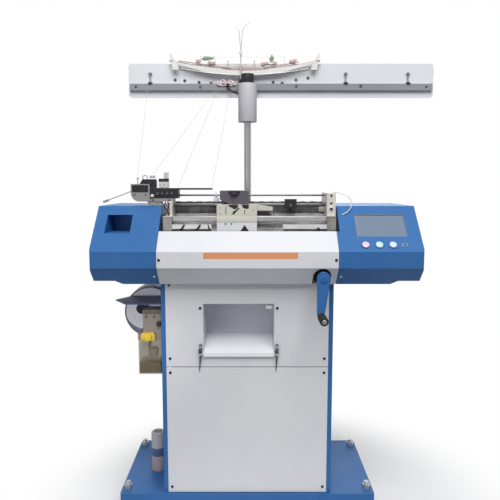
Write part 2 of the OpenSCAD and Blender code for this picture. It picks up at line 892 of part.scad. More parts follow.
// Outline of the saddle that holds the selector, from its foot to a named height above it
module saddle_outline(rise) {
    polygon([
        [bridge_x - saddle_foot_w / 2, bridge_top - saddle_d],
        [bridge_x + saddle_foot_w / 2, bridge_top - saddle_d],
        [bridge_x + saddle_w / 2, bridge_top],
        [bridge_x + saddle_w / 2, bridge_top + rise],
        [bridge_x - saddle_w / 2, bridge_top + rise],
        [bridge_x - saddle_w / 2, bridge_top]
    ]);
}
module carriage_bridge() {
    left = bridge_x - bridge_w / 2;
    right = bridge_x + bridge_w / 2;
    color(grey) in_frame() {
        difference() {
            block(left, right, bridge_front, bridge_rear, cam_high, bridge_top);
            block(left - cut, right + cut, bridge_front + upright_t, bridge_rear - upright_t,
                cam_high - cut, bridge_low);
            along_y(bridge_front - cut, bridge_front + upright_t) {
                saddle_outline(cut);
                polygon([
                    [left - cut, cam_high - cut],
                    [left + shoulder_w, cam_high - cut],
                    [left - cut, cam_high + shoulder_h]
                ]);
            }
        }
        block(bridge_x - drive_w / 2, bridge_x + drive_w / 2, bridge_rear - cut, drive_y + drive_t,
            cam_high, cam_high + drive_t);
        block(bridge_x - drive_w / 2, bridge_x + drive_w / 2, drive_y, drive_y + drive_t,
            drive_low, cam_high + drive_t);
        for (z = [drive_low, jaw_upper])
            block(bridge_x - drive_w / 2, bridge_x + drive_w / 2, drive_y + drive_t - cut,
                drive_y + drive_t + jaw_reach, z, z + jaw_t);
    }
}

// Black fittings of the carriage: the selector in its saddle, a pointer on the skirt and a plate
// under the wing
selector_out = 8;
pointer_t = 3;
pointer_w = 28;
pointer_h = 21;
pointer_rise = 7;
pointer_x = -8;
plate_gap = 0.8;
plate_w = 48;
plate_d = 8;
plate_h = 12;
module selector_unit() {
    color(dark) in_frame() {
        along_y(bridge_front - selector_out, bridge_front + upright_t) saddle_outline(0);
        along_y(cam_front - skirt_t - pointer_t, cam_front - skirt_t) polygon([
            [pointer_x - pointer_w / 2, skirt_low + pointer_rise],
            [pointer_x + pointer_w / 2, skirt_low + pointer_rise],
            [pointer_x, skirt_low + pointer_rise + pointer_h]
        ]);
        along_y(cam_front + cam_d - wing_t - plate_d, cam_front + cam_d - wing_t) polygon([
            [cam_right, cam_low + plate_gap],
            [cam_right + plate_w, cam_low + plate_gap],
            [cam_right + plate_w - plate_h, cam_low + plate_gap + plate_h],
            [cam_right, cam_low + plate_gap + plate_h]
        ]);
    }
}

// Yarn carrier: a clip that slides on the carrier rod, with a feeder that reaches to the needle gap
carrier_x = 139;
carrier_w = 38;
carrier_half = 10;
carrier_y0 = carrier_rod_y - carrier_half;
carrier_y1 = carrier_rod_y + carrier_half;
carrier_low = carrier_rod_z - carrier_half;
carrier_h = 28;
slide_gap = 0.08;
feeder_d = 4;
feeder_rise = 8;
feeder_low = bed_edge_z + feeder_rise;
feeder_y = carrier_y1 - feeder_d;
module yarn_carrier() {
    color(dark) in_frame() difference() {
        union() {
            block(carrier_x - carrier_w / 2, carrier_x + carrier_w / 2, carrier_y0, carrier_y1,
                carrier_low, carrier_low + carrier_h);
            rod_z(carrier_x, feeder_y, feeder_low, carrier_low + cut, feeder_d);
        }
        rod_x(carrier_x - carrier_w, carrier_x + carrier_w, carrier_rod_y, carrier_rod_z,
            carrier_rod_d + 2 * slide_gap);
    }
}

// Yarn changer on the left end block: a bar with a round-bottomed shell and a lever over the left cover
changer_y0 = 56;
changer_y1 = 100;
changer_mid = (changer_y0 + changer_y1) / 2;
changer_bar_h = 10;
changer_bar_top = left_head_z + changer_bar_h;
shell_left = -371;
shell_right = -311;
shell_top = 1130;
shell_round = 27;
shell_out = 4;
window_inset = 4;
window_h = 23;
window_d = 6;
window_t = 4;
window_gap = 0.3;
lever_d = 3;
lever_tip_d = 7;
lever_seat = 6;
lever_drop = 20;
lever_run = 93;
lever_fall = 38;
lever_lean = 8;
lever_tip_share = 0.18;
lever_root = [shell_left + lever_seat, changer_mid, shell_top - lever_drop];
lever_slant = [-lever_run - lever_seat, -lever_lean, -lever_fall];
module shell_outline() {
    translate([shell_left + shell_round, left_head_z]) square([shell_right - shell_left - shell_round,
        shell_round]);
    translate([shell_left, left_head_z + shell_round])
        square([shell_right - shell_left, shell_top - left_head_z - shell_round]);
    translate([shell_left + shell_round, left_head_z + shell_round]) circle(shell_round);
}
module changer_base() {
    front = changer_y0 - shell_out;
    color(steel) in_frame() {
        difference() {
            along_y(front, changer_y1 + shell_out) shell_outline();
            block(shell_left + window_inset, shell_right - window_inset, front - cut, front + window_d,
                shell_top - window_inset - window_h, shell_top - window_inset);
        }
        block(shell_right - cut, -bed_left, changer_y0, changer_y1, left_head_z, changer_bar_top);
        tube([lever_root, lever_root + lever_slant], lever_d / 2);
        tube([lever_root + (1 - lever_tip_share) * lever_slant, lever_root + lever_slant], lever_tip_d / 2);
    }
}

// Black body with its arm, the window pane, the hood over the shell and the cross bar on the solenoid
changer_body_top = 1117;
changer_arm_end = -112;
changer_arm_w = 12;
changer_arm_t = 5.5;
hood_inset = 6;
hood_left = 26;
hood_slant = 10;
hood_h = 15;
hood_w = 18;
solenoid_left = -284;
solenoid_w = 31;
solenoid_h = 20;
solenoid_inset = 10;
cross_bar_h = 10;
module changer_box() {
    front = changer_y0 - shell_out;
    color(dark) in_frame() {
        block(shell_right, top_rod_left, changer_y0, changer_y1, changer_bar_top, changer_body_top);
        block(shell_left + window_inset + window_gap, shell_right - window_inset - window_gap,
            front + window_d - window_t, front + window_d,
            shell_top - window_inset - window_h + window_gap, shell_top - window_inset - window_gap);
        along_y(changer_y0 + hood_inset, changer_y1 - hood_inset) polygon([
            [shell_left + hood_left, shell_top],
            [shell_left + hood_left + hood_slant, shell_top + hood_h],
            [shell_right + hood_w, shell_top + hood_h],
            [shell_right + hood_w, changer_body_top - cut],
            [shell_right, changer_body_top - cut],
            [shell_right, shell_top]
        ]);
        block(solenoid_left, solenoid_left + solenoid_w, changer_y0 + solenoid_inset,
            changer_y1 - solenoid_inset,
            changer_body_top + solenoid_h, changer_body_top + solenoid_h + cross_bar_h);
        block(top_rod_left - cut, changer_arm_end, top_rod_y - changer_arm_w / 2,
            top_rod_y + changer_arm_w / 2,
            changer_body_top - changer_arm_t, changer_body_top);
    }
}
flag_t = 4;
flag_h = 20;
knob_inset = 12;
knob_d = 18;
knob_h = 6;
knob_stem_d = 6;
knob_rise = 12;
ball_d = 8;
ball_stem_d = 3;
ball_in = 18;
ball_rise = 18;
eye_hole_d = 6;
eye_hole_shares = [0.3, 0.7];
module changer_solenoid() {
    hood_top = shell_top + hood_h;
    flag_low = changer_body_top + solenoid_h + cross_bar_h;
    knob_x = shell_right + hood_w - knob_inset;
    color(steel) in_frame() {
        difference() {
            block(solenoid_left, solenoid_left + solenoid_w, changer_y0 + solenoid_inset,
                changer_y1 - solenoid_inset,
                changer_body_top, changer_body_top + solenoid_h);
            for (share = eye_hole_shares) rod_y(solenoid_left + share * solenoid_w, changer_y0, changer_y1,
                changer_body_top + solenoid_h / 2, eye_hole_d);
        }
        block(solenoid_left + solenoid_w / 2, solenoid_left + solenoid_w, changer_mid - flag_t / 2,
            changer_mid + flag_t / 2, flag_low, flag_low + flag_h);
        rod_z(knob_x, changer_mid, hood_top, hood_top + knob_rise, knob_stem_d);
        rod_z(knob_x, changer_mid, hood_top + knob_rise - knob_h, hood_top + knob_rise, knob_d);
        rod_z(shell_left + ball_in, changer_mid, shell_top, shell_top + ball_rise, ball_stem_d);
        translate([shell_left + ball_in, changer_mid, shell_top + ball_rise]) sphere(d = ball_d);
    }
}

// Crank: shaft with the drive pulley at its rear, arm with a tapered outline, and a turning grip
shaft_end_gap = 6;
shaft_back = motor_front - shaft_end_gap;
arm_hub_d = 40;
arm_tip_d = 22;
grip_pin_d = 10;
pulley_d = 2 * belt_r - 2 * touch_gap;
grip_x = crank_x - crank_len * sin(crank_lean);
grip_z = crank_z - crank_len * cos(crank_lean);
module crank_shaft() {
    color(steel) in_frame() {
        rod_y(crank_x, arm_back, shaft_back, crank_z, crank_shaft_d);
        rod_y(crank_x, belt_y, belt_y + belt_w, crank_z, pulley_d);
    }
}

// Outline of two discs and the quadrilateral between their tangent points
module tangent_outline(r0, r1, l) {
    a = acos((r0 - r1) / l);
    circle(r0);
    translate([l, 0]) circle(r1);
    polygon([
        r0 * [cos(a), sin(a)],
        r0 * [cos(a), -sin(a)],
        [l, 0] + r1 * [cos(a), -sin(a)],
        [l, 0] + r1 * [cos(a), sin(a)]
    ]);
}
module crank_arm() {
    color(blue_paint) in_frame() {
        translate([crank_x, arm_back, crank_z]) rotate([90, 0, 0]) linear_extrude(arm_t)
            rotate(-90 - crank_lean) tangent_outline(arm_hub_d / 2, arm_tip_d / 2, crank_len);
        rod_y(grip_x, arm_front - grip_len + grip_end_t, arm_front + cut, grip_z, grip_pin_d);
    }
}
grip_end_t = 6;
grip_waist_share = 0.86;
module crank_grip() {
    color(dark) in_frame() translate([grip_x, arm_front - grip_gap, grip_z]) rotate([90, 0,
        0]) difference() {
        rotate_extrude() polygon([
            [0, 0],
            [grip_waist_share * grip_d / 2, 0],
            [grip_d / 2, grip_len / 2],
            [grip_d / 2, grip_len - grip_end_t],
            [grip_waist_share * grip_d / 2, grip_len],
            [0, grip_len]
        ]);
        translate([0, 0, -cut]) cylinder(d = grip_pin_d + 2 * bore_gap, h = grip_len - grip_end_t + cut);
    }
}

// Bearings of the crank shaft, the motor's plate and the idler's pin, all on the base plate
bracket_w = 38;
bracket_rise = 24;
bearing_front = 30;
bearing_t = 20;
motor_plate_t = 10;
idler_x = -230;
idler_pin_d = 14;
idler_plate_t = 12;
idler_plate_y = belt_y + belt_w + jaw_gap;
module bracket_plate(x, y, t) {
    block(x - bracket_w / 2, x + bracket_w / 2, y, y + t, base_top, crank_z + bracket_rise);
}
module shaft_brackets() {
    color(grey) in_frame() {
        difference() {
            union() {
                bracket_plate(crank_x, bearing_front, bearing_t);
                bracket_plate(crank_x, motor_front - motor_plate_t, motor_plate_t);
            }
            rod_y(crank_x, bearing_front - cut, motor_front + cut, crank_z, crank_shaft_d + 2 * bore_gap);
        }
        bracket_plate(idler_x, idler_plate_y, idler_plate_t);
        rod_y(idler_x, belt_y - jaw_gap, idler_plate_y + cut, crank_z, idler_pin_d);
    }
}
module idler_pulley() {
    color(steel) in_frame() difference() {
        rod_y(idler_x, belt_y, belt_y + belt_w, crank_z, pulley_d);
        rod_y(idler_x, belt_y - cut, belt_y + belt_w + cut, crank_z, idler_pin_d + 2 * bore_gap);
    }
}

// Flat belt round both pulleys, which carries the carriage's drive arm
module belt_outline(r) {
    translate([idler_x, crank_z]) tangent_outline(r, r, crank_x - idler_x);
}
module drive_belt() {
    color(dark) in_frame() along_y(belt_y, belt_y + belt_w) difference() {
        belt_outline(belt_r + belt_t);
        belt_outline(belt_r);
    }
}
module drive_motor() {
    color(dark) in_frame() block(crank_x - motor_w / 2, crank_x + motor_w / 2, motor_front,
        motor_front + motor_len,
        crank_z - motor_w / 2, crank_z + motor_w / 2);
}

// Post with a collar on the base plate, and the sleeve that carries the rack
collar_d = 40;
collar_h = 30;
post_over = 20;
post_top = sleeve_low + sleeve_h + post_over;
pad_w = 50;
pad_h = 34;
module post() {
    color(steel) in_frame() {
        rod_z(0, post_y, base_top, post_top, post_d);
        rod_z(0, post_y, base_top, base_top + collar_h, collar_d);
    }
}
module post_sleeve() {
    color(white_paint) in_frame() difference() {
        union() {
            rod_z(0, post_y, sleeve_low, sleeve_low + sleeve_h, sleeve_d);
            block(-pad_w / 2, pad_w / 2, post_y, bar_front, sleeve_low + sleeve_h - pad_h,
                sleeve_low + sleeve_h);
        }
        rod_z(0, post_y, sleeve_low - cut, sleeve_low + sleeve_h + cut, post_d + 2 * bore_gap);
    }
}

// Rack: an upright plate with round corners behind a bar that holds three yarn pins
rack_corner = 12;
bar_low = 1471;
bar_inset = 6;
bar_hole_d = 9;
bar_hole_inset = 28;
pin_d = 5;
pin_h = 40;
pin_cap_h = 5;
pin_disc_h = 7;
pin_shares = [0.072, 0.711, 0.915];
pin_xs = [for (share = pin_shares) rack_left + share * rack_w];
module rack_plate() {
    color(white_paint) in_frame() along_y(rack_front, rack_front + rack_t)
        round_rect(rack_left, rack_right, rack_low, rack_low + rack_h, rack_corner);
}
module rack_bar() {
    y = bar_front + bar_t / 2;
    color(grey) in_frame() {
        difference() {
            block(rack_left + bar_inset, rack_right - bar_inset, bar_front, rack_front, bar_low,
                bar_low + bar_h);
            for (x = [rack_left + bar_hole_inset, rack_right - bar_hole_inset])
                rod_y(x, bar_front - cut, rack_front + cut, bar_low + bar_h / 2, bar_hole_d);
        }
        for (x = pin_xs) {
            rod_z(x, y, bar_low + bar_h - cut, bar_low + bar_h + pin_h, pin_d);
            rod_z(x, y, bar_low + bar_h - cut, bar_low + bar_h + pin_disc_h, bar_t);
            rod_z(x, y, bar_low + bar_h + pin_h - pin_cap_h, bar_low + bar_h + pin_h, bar_t);
        }
    }
}

// Tension bow: a sagging bar behind the clamp, with a strip before it that stands on the clamp's rest
bow_x = -10;
bow_low = 1540;
bow_h = 7;
bow_t = 8;
bow_r = (bow_reach * bow_reach + bow_sag * bow_sag) / (2 * bow_sag);
bow_angle = asin(bow_reach / bow_r);
clamp_w = 46;
clamp_h = 34;
clamp_low = sleeve_low + sleeve_h;
strip_t = 3;
strip_h = 20;
strip_lap = 4;
strip_front = post_y + clamp_w / 2 + touch_gap;
bow_front = strip_front + strip_t;
bow_mid = bow_front + bow_t / 2;
rest_w = 30;
rest_t = 8;
rest_top = bow_low - strip_h;
ear_w = 24;
strip_reach = bow_reach - ear_w;
strip_sag = bow_z(strip_reach, 0) - rest_top;
strip_r = (strip_reach * strip_reach + strip_sag * strip_sag) / (2 * strip_sag);

// Height of the bow's outer edge, or of a line that lies inside it, over a place along the bow
function bow_z(x, inside) = bow_low + bow_r - sqrt(pow(bow_r - inside, 2) - x * x);

// A ring sector drawn in X and Z, centred on the bow's bottom, from one lean to the other
module bow_sector(r0, r1, a) {
    intersection() {
        difference() {
            circle(r1, $fn = 360);
            circle(r0, $fn = 360);
        }
        polygon([[0, 0], 2 * r1 * [-sin(a), -cos(a)], 2 * r1 * [0, -cos(a)], 2 * r1 * [sin(a), -cos(a)]]);
    }
}
module bow_bar() {
    color([0.7, 0.52, 0.42]) in_frame() translate([bow_x, 0, 0]) {
        along_y(bow_front, bow_front + bow_t) translate([0, bow_low + bow_r])
            bow_sector(bow_r - bow_h, bow_r, bow_angle);
        for (share = unit_x_shares) tension_unit(share * bow_reach);
    }
}

// Each tension unit is a post with a wider knob, standing on the bow
unit_x_shares = [-0.62, -0.46, 0.24, 0.4, 0.66];
unit_d = 7;
unit_knob_d = 16;
unit_knob_h = 10;
unit_rise = 26;
module tension_unit(x) {
    z = bow_z(x, 0);
    rod_z(x, bow_mid, z + bow_h / 2, z + unit_rise, unit_d);
    rod_z(x, bow_mid, z + unit_rise - unit_knob_h, z + unit_rise, unit_knob_d);
}
ear_drop = 30;
ear_rise = 34;
ear_hole_d = 7;
module bow_strip() {
    color(cream) in_frame() translate([bow_x, 0, 0]) {
        along_y(strip_front, bow_front) difference() {
            translate([0, rest_top + strip_r]) circle(strip_r, $fn = 360);
            translate([0, bow_low + bow_r]) circle(bow_r - strip_lap, $fn = 360);
        }
        for (side = [-1, 1]) ear(side);
    }
}
module ear(side) {
    z = bow_low + bow_sag;
    along_y(strip_front, bow_front) difference() {
        polygon([
            [side * bow_reach, z + ear_rise],
            [side * (bow_reach - ear_w / 2), z - ear_drop],
            [side * (bow_reach - 3 * ear_w / 2), z - ear_drop],
            [side * (bow_reach - ear_w), z]
        ]);
        translate([side * (bow_reach - ear_w / 2), z]) circle(d = ear_hole_d);
    }
}

// Wires of the bow, and the mast on the clamp with the pin of the antennas
wire_d = 2.5;
frame_wire_shares = [-0.58, 0.53];
frame_wire_z = 1590;
lower_wire_rise = 4;
lower_wire_share = 0.84;
antenna_x = -24;
antenna_z = 1595;
antenna_pin_d = 5;
antenna_pin_front = 322;
mast_y = 340;
mast_d = 5;
mast_lug_w = 16;
mast_lug_h = 17;
module wire_arc(r, z, y, a) {
    translate([bow_x, y, z + r]) rotate([90, 0, 0]) rotate([0, 0, -90 - a])
        rotate_extrude(angle = 2 * a, $fn = 180) translate([r, 0]) circle(d = wire_d, $fn = 24);
}
module bow_wires() {
    legs = [for (share = frame_wire_shares) share * bow_reach];
    foot = [for (x = legs) bow_z(x, bow_h) + touch_gap];
    color(steel) in_frame() {
        translate([bow_x, bow_mid, 0]) tube([
            [legs[0], 0, foot[0]],
            [legs[0], 0, frame_wire_z],
            [legs[1], 0, frame_wire_z],
            [legs[1], 0, foot[1]]
        ], wire_d / 2);
        wire_arc(bow_r, rest_top + lower_wire_rise, strip_front - wire_d / 2 - bore_gap,
            bow_angle * lower_wire_share);
        rod_z(antenna_x, mast_y, clamp_low + mast_lug_h, antenna_z + mast_d / 2, mast_d);
        rod_y(antenna_x, antenna_pin_front, mast_y, antenna_z, antenna_pin_d);
    }
}
module bow_bracket() {
    color(dark) in_frame() difference() {
        union() {
            rod_z(0, post_y, clamp_low, clamp_low + clamp_h, clamp_w);
            block(-rest_w / 2, rest_w / 2, post_y, bow_front + bow_t, rest_top - rest_t, rest_top);
            block(antenna_x - mast_lug_w / 2, 0, mast_y - mast_lug_w / 2, mast_y + mast_lug_w / 2,
                clamp_low, clamp_low + mast_lug_h);
        }
        rod_z(0, post_y, clamp_low - cut, post_top, post_d + 2 * bore_gap);
    }
}

// Antennas: sprung wires that turn on one pin, each with an eye round it and a bent end
eye_d = 13;
eye_t = 5;
eye_gap = 1.5;
antenna_d = 2.4;
antenna_rise = 80;
antenna_bend = 17;
antenna_tip = 12;
antenna_lean = 6;
antenna_kink = 12;
antenna_reach = 34;
module antenna(side, y) {
    base = [antenna_x, y + eye_t / 2, antenna_z];
    knee = base + [side * antenna_lean, 0, antenna_rise];
    bend = knee + [side * antenna_kink, 0, antenna_bend];
    tip = [antenna_x + side * antenna_reach, base[1], bend[2] + antenna_tip];
    difference() {
        union() {
            rod_y(antenna_x, y, y + eye_t, antenna_z, eye_d);
            tube([base, knee, bend, tip], antenna_d / 2);
        }
        rod_y(antenna_x, y - cut, y + eye_t + cut, antenna_z, antenna_pin_d + 2 * bore_gap);
    }
}
module antenna_left() {
    color(steel) in_frame() antenna(-1, antenna_pin_front + eye_gap);
}
module antenna_right() {
    color(steel) in_frame() antenna(1, antenna_pin_front + eye_gap + eye_t + eye_gap);
}

// Blower on the column's left side: a drum with a flat seat, a hub and a bracket plate before it
blower_out = 68;
blower_x = -column_w / 2 - blower_out;
blower_drop = 137;
blower_z = column_top - blower_drop;
blower_front = 198;
hub_out = 27;
hub_x = blower_x - hub_out;
hub_rise = 15;
hub_z = blower_z + hub_rise;
hub_d = 38;
hub_t = 18;
module blower_housing() {
    seat = -column_w / 2;
    color(white_paint) in_frame() difference() {
        union() {
            rod_y(blower_x, blower_front, blower_front + blower_len, blower_z, blower_d);
            rod_y(hub_x, blower_front - hub_t, blower_front + cut, hub_z, hub_d);
        }
        block(seat, seat + blower_d, blower_front - cut, blower_front + blower_len + cut,
            blower_z - blower_d, blower_z + blower_d);
    }
}
shelf_out = 172;
shelf_z = 737;
shelf_t = 4;
shelf_front = 60;
shelf_d = 134;
shelf_nose = 46;
shelf_fold = 24;
module blower_bracket() {
    seat = -column_w / 2;
    color(blue_paint) in_frame() {
        translate([0, 0, shelf_z]) linear_extrude(shelf_t) polygon([
            [seat, shelf_front],
            [seat - shelf_out + shelf_nose, shelf_front],
            [seat - shelf_out, shelf_front + shelf_d / 2],
            [seat - shelf_out + shelf_nose, shelf_front + shelf_d],
            [seat, shelf_front + shelf_d]
        ]);
        block(seat - shelf_t, seat, shelf_front, shelf_front + shelf_d, shelf_z, shelf_z + shelf_fold);
    }
}

// Lubricator on the column's left side: a translucent tank under a pump with its cap
tank_front = 30;
tank_low = 513;
tank_wall = 2.5;
tank_round = 8;
tank_side_gap = 2;
pump_w = 60;
pump_d = 60;
pump_h = 78;
lid_h = 20;
cap_w = 44;
cap_in = 13;
cap_out = 12;
cap_h = 26;
tank_right = -column_w / 2;
module oil_tank() {
    color([0.75, 0.68, 0.55, 0.6]) in_frame() difference() {
        translate([0, 0, tank_low]) linear_extrude(tank_h)
            round_rect(tank_right - tank_w, tank_right, tank_front, tank_front + tank_d, tank_round);
        translate([0, 0, tank_low + tank_wall]) linear_extrude(tank_h)
            round_rect(tank_right - tank_w + tank_wall, tank_right - tank_wall, tank_front + tank_wall,
                tank_front + tank_d - tank_wall, tank_round - tank_wall);
    }
}
module oil_pump() {
    top = tank_low + tank_h;
    color([0.5, 0.46, 0.42]) in_frame() {
        block(tank_right - tank_w, tank_right, tank_front, tank_front + tank_d, top, top + lid_h);
        block(tank_right - pump_w - tank_side_gap, tank_right - tank_side_gap, tank_front,
            tank_front + pump_d,
            top + lid_h - cut, top + lid_h + pump_h);
        block(tank_right - tank_w + cap_in, tank_right - tank_w + cap_in + cap_w, tank_front - cap_out,
            tank_front + cut, top, top + cap_h);
    }
}

// Thread spool that stands on the plinth beside the column
spool_gap = 19;
spool_x = -column_w / 2 - spool_gap - spool_d / 2;
spool_y = 164;
spool_bore_share = 0.6;
spool_bore_h = 40;
module thread_spool() {
    color(white_paint) in_frame() difference() {
        rod_z(spool_x, spool_y, plinth_top, plinth_top + spool_h, spool_d);
        rod_z(spool_x, spool_y, plinth_top + spool_h - spool_bore_h, plinth_top + spool_h + cut,
            spool_bore_share * spool_d);
    }
}

// Yarns from the rack bar to the changer, and the cable loop at the right end block
yarn_d = 1.2;
cable_d = 3;
yarn_one_route = [[-366, 363, 1472], [-353, 78, 1153]];
yarn_two_route = [[-119, 363, 1472], [-305, 78, 1158]];
yarn_three_route = [[-109, 363, 1472], [-224, 78, 1118]];
yarn_four_route = [[-63, 363, 1472], [-114, 78, 1118]];
cable_route = [
    [268, 60, 1104], [282, 58, 1104], [297, 54, 1101], [312, 50, 1096], [324, 46, 1088],
    [331, 42, 1076], [331, 38, 1062], [324, 35, 1049], [313, 33, 1039], [300, 32, 1033]
];
module yarn_one() {
    color(cream) in_frame() tube(yarn_one_route, yarn_d / 2);
}
module yarn_two() {
    color(cream) in_frame() tube(yarn_two_route, yarn_d / 2);
}
module yarn_three() {
    color(cream) in_frame() tube(yarn_three_route, yarn_d / 2);
}
module yarn_four() {
    color(cream) in_frame() tube(yarn_four_route, yarn_d / 2);
}
module cable_loop() {
    color(white_paint) in_frame() tube(cable_route, cable_d / 2);
}

base_plinth();
leveling_feet();
column_frame();
lower_front_panel();
upper_front_panel();
panel_screws();
chute_box();
chute_tray();
head_base();
front_cover();
left_cover();
right_cover();
rear_cover();
touch_screen();
button_bodies();
stop_button();
start_button();
reset_button();
front_needle_bed();
rear_needle_bed();
needles();
left_end_block();
right_end_block();
guide_rails();
brush_strip();
cam_blocks();
carriage_skirt();
carriage_bridge();
selector_unit();
yarn_carrier();
changer_base();
changer_box();
changer_solenoid();
crank_shaft();
crank_arm();
crank_grip();
shaft_brackets();
idler_pulley();
drive_belt();
drive_motor();
post();
post_sleeve();
rack_plate();
rack_bar();
bow_bar();
bow_strip();
bow_wires();
bow_bracket();
antenna_left();
antenna_right();
blower_housing();
blower_bracket();
oil_tank();
oil_pump();
thread_spool();
yarn_one();
yarn_two();
yarn_three();
yarn_four();
cable_loop();
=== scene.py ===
import math

import bmesh
import bpy
from mathutils import Matrix, Vector


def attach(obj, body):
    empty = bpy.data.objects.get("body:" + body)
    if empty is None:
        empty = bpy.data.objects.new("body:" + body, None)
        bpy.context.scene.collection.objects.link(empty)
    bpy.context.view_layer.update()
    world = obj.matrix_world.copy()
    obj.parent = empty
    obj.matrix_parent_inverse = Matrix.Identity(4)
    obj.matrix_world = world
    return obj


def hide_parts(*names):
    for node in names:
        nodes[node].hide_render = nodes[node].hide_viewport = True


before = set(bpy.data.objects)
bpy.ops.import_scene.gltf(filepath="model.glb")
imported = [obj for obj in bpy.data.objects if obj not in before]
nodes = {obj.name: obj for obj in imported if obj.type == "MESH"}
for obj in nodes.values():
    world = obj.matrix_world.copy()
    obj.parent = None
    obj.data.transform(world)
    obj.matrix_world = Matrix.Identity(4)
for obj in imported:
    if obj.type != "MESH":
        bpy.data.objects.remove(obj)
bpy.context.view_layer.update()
scene = bpy.context.scene
scene.view_settings.view_transform = "Standard"
print("frame loaded with", len(nodes), "nodes")

# pieces are drawn in millimetres from the column's middle and the plinth's front edge
shop = {"x": 103.5, "y": 106.5, "scale": 0.001}
toFront, toBack, toTop = (0, -1, 0), (0, 1, 0), (0, 0, 1)
# how meshes are built: angles in radians and degrees, the rest in millimetres
meshLook = {"sharp": 0.6, "steps": 2, "smooth": 35, "join": 0.0005, "axis": 1e-6}


def at(x, y, z):
    return Vector((x - shop["x"], y - shop["y"], z)) * shop["scale"]


def ink(r, g, b):
    # a colour as a paint chart gives it, 0 to 255, for Blender's linear sockets
    linear = [((c / 255 + 0.055) / 1.055) ** 2.4 if c > 10 else c / 255 / 12.92 for c in (r, g, b)]
    return (*linear, 1.0)


def stand(name, data):
    obj = bpy.data.objects.new(name, data)
    scene.collection.objects.link(obj)
    return obj


# camera
cameraLook = {"x": 9, "y": -1740, "z": 1127.5, "dip": 6.65, "lens": 40.3}
camData = bpy.data.cameras.new("viewCamera")
camData.lens = cameraLook["lens"]
camera = stand("viewCamera", camData)
camera.location = at(cameraLook["x"], cameraLook["y"], cameraLook["z"])
camera.rotation_euler = (math.radians(90 - cameraLook["dip"]), 0, 0)
scene.camera = camera
print("camera set")


# mesh helpers, each pours one closed form into the piece's bmesh
def pour(target, part, matrix=Matrix(), edge=0.0):
    # turns the faces outward, softens sharp edges and puts the form in its place
    bmesh.ops.recalc_face_normals(part, faces=part.faces[:])
    if edge > 0:
        sharp = [e for e in part.edges if len(e.link_faces) == 2 and e.calc_face_angle() > meshLook["sharp"]]
        bmesh.ops.bevel(
            part, geom=sharp, offset=edge, segments=meshLook["steps"], profile=0.5, affect="EDGES",
            clamp_overlap=True,
        )
    bmesh.ops.transform(part, matrix=matrix, verts=part.verts)
    mesh = bpy.data.meshes.new("part")
    part.to_mesh(mesh)
    part.free()
    target.from_mesh(mesh)
    bpy.data.meshes.remove(mesh)


def facing(middle, along):
    # matrix that puts local Z on along
    z = Vector(along).normalized()
    x = Vector((1, 0, 0)) if abs(z.x) < 0.9 else Vector((0, 1, 0))
    x = (x - z * x.dot(z)).normalized()
    y = z.cross(x)
    return Matrix.Translation(Vector(middle)) @ Matrix((x, y, z)).transposed().to_4x4()


def bridge(part, low, high):
    # faces between two rings, of which one may be a single point
    count = max(len(low), len(high))
    for k in range(count if count > 1 else 0):
        m = (k + 1) % count
        corners = (low[k % len(low)], low[m % len(low)], high[m % len(high)], high[k % len(high)])
        part.faces.new(list(dict.fromkeys(corners)))


def skin(part, rings):
    # faces along a row of rings, with closed ends
    for low, high in zip(rings, rings[1:]):
        bridge(part, low, high)
    part.faces.new(rings[0][::-1])
    part.faces.new(rings[-1])


def slab(bm, outline, depth, matrix, edge=0.0):
    # flat outline drawn out to a depth
    part = bmesh.new()
    skin(part, [[part.verts.new((x, y, z)) for x, y in outline] for z in (0, depth)])
    pour(bm, part, matrix, edge)


def turns(sides):
    return [2 * math.pi * k / sides for k in range(sides)]


def lathe(bm, profile, middle, sides=36, along=toFront):
    # profile of (radius, height) turned about its axis
    part = bmesh.new()
    rings = []
    for r, h in profile:
        if r < meshLook["axis"]:
            rings.append([part.verts.new((0, 0, h))])
        else:
            rings.append([part.verts.new((r * math.cos(a), r * math.sin(a), h)) for a in turns(sides)])
    for low, high in zip(rings, rings[1:]):
        bridge(part, low, high)
    bmesh.ops.remove_doubles(part, verts=part.verts[:], dist=meshLook["join"])
    pour(bm, part, facing(middle, along))


def sweep(bm, points, radius, sides=10):
    # round wire along points, with closed ends
    part = bmesh.new()
    pts = [Vector(p) for p in points]
    rings = []
    side = None
    for i, p in enumerate(pts):
        ahead = (pts[min(i + 1, len(pts) - 1)] - pts[max(i - 1, 0)]).normalized()
        if side is None:
            side = ahead.orthogonal().normalized()
        side = (side - ahead * side.dot(ahead)).normalized()
        up = ahead.cross(side)
        around = [math.cos(a) * side + math.sin(a) * up for a in turns(sides)]
        rings.append([part.verts.new(p + radius * step) for step in around])
    skin(part, rings)
    pour(bm, part)


def arc(middle, radius, start, end, steps, plane="xz"):
    # points of an arc in degrees, in the XZ or YZ plane
    found = []
    for i in range(steps + 1):
        a = math.radians(start + (end - start) * i / steps)
        u, v = radius * math.cos(a), radius * math.sin(a)
        step = {"xz": (u, 0, v), "yz": (0, u, v)}[plane]
        found.append(Vector(middle) + Vector(step))
    return found


def build(name, material, forms, body="machine", stands=()):
    # one piece from its dictionary of forms, each a helper with its values in millimetres, on its body
    bm = bmesh.new()
    for pourForm, *values in forms.values():
        pourForm(bm, *values)
    for v in bm.verts:
        v.co = at(*v.co)
    mesh = bpy.data.meshes.new(name)
    bm.to_mesh(mesh)
    bm.free()
    mesh.materials.append(material)
    mesh.polygons.foreach_set("use_smooth", [True] * len(mesh.polygons))
    mesh.set_sharp_from_angle(angle=math.radians(meshLook["smooth"]))
    obj = stand(name, mesh)
    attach(obj, body)
    if stands:
        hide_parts(*stands)


# shared effects as node groups
def add(tree, kind, operation=None):
    node = tree.nodes.new("ShaderNode" + kind)
    if operation:
        node.operation = operation
    return node


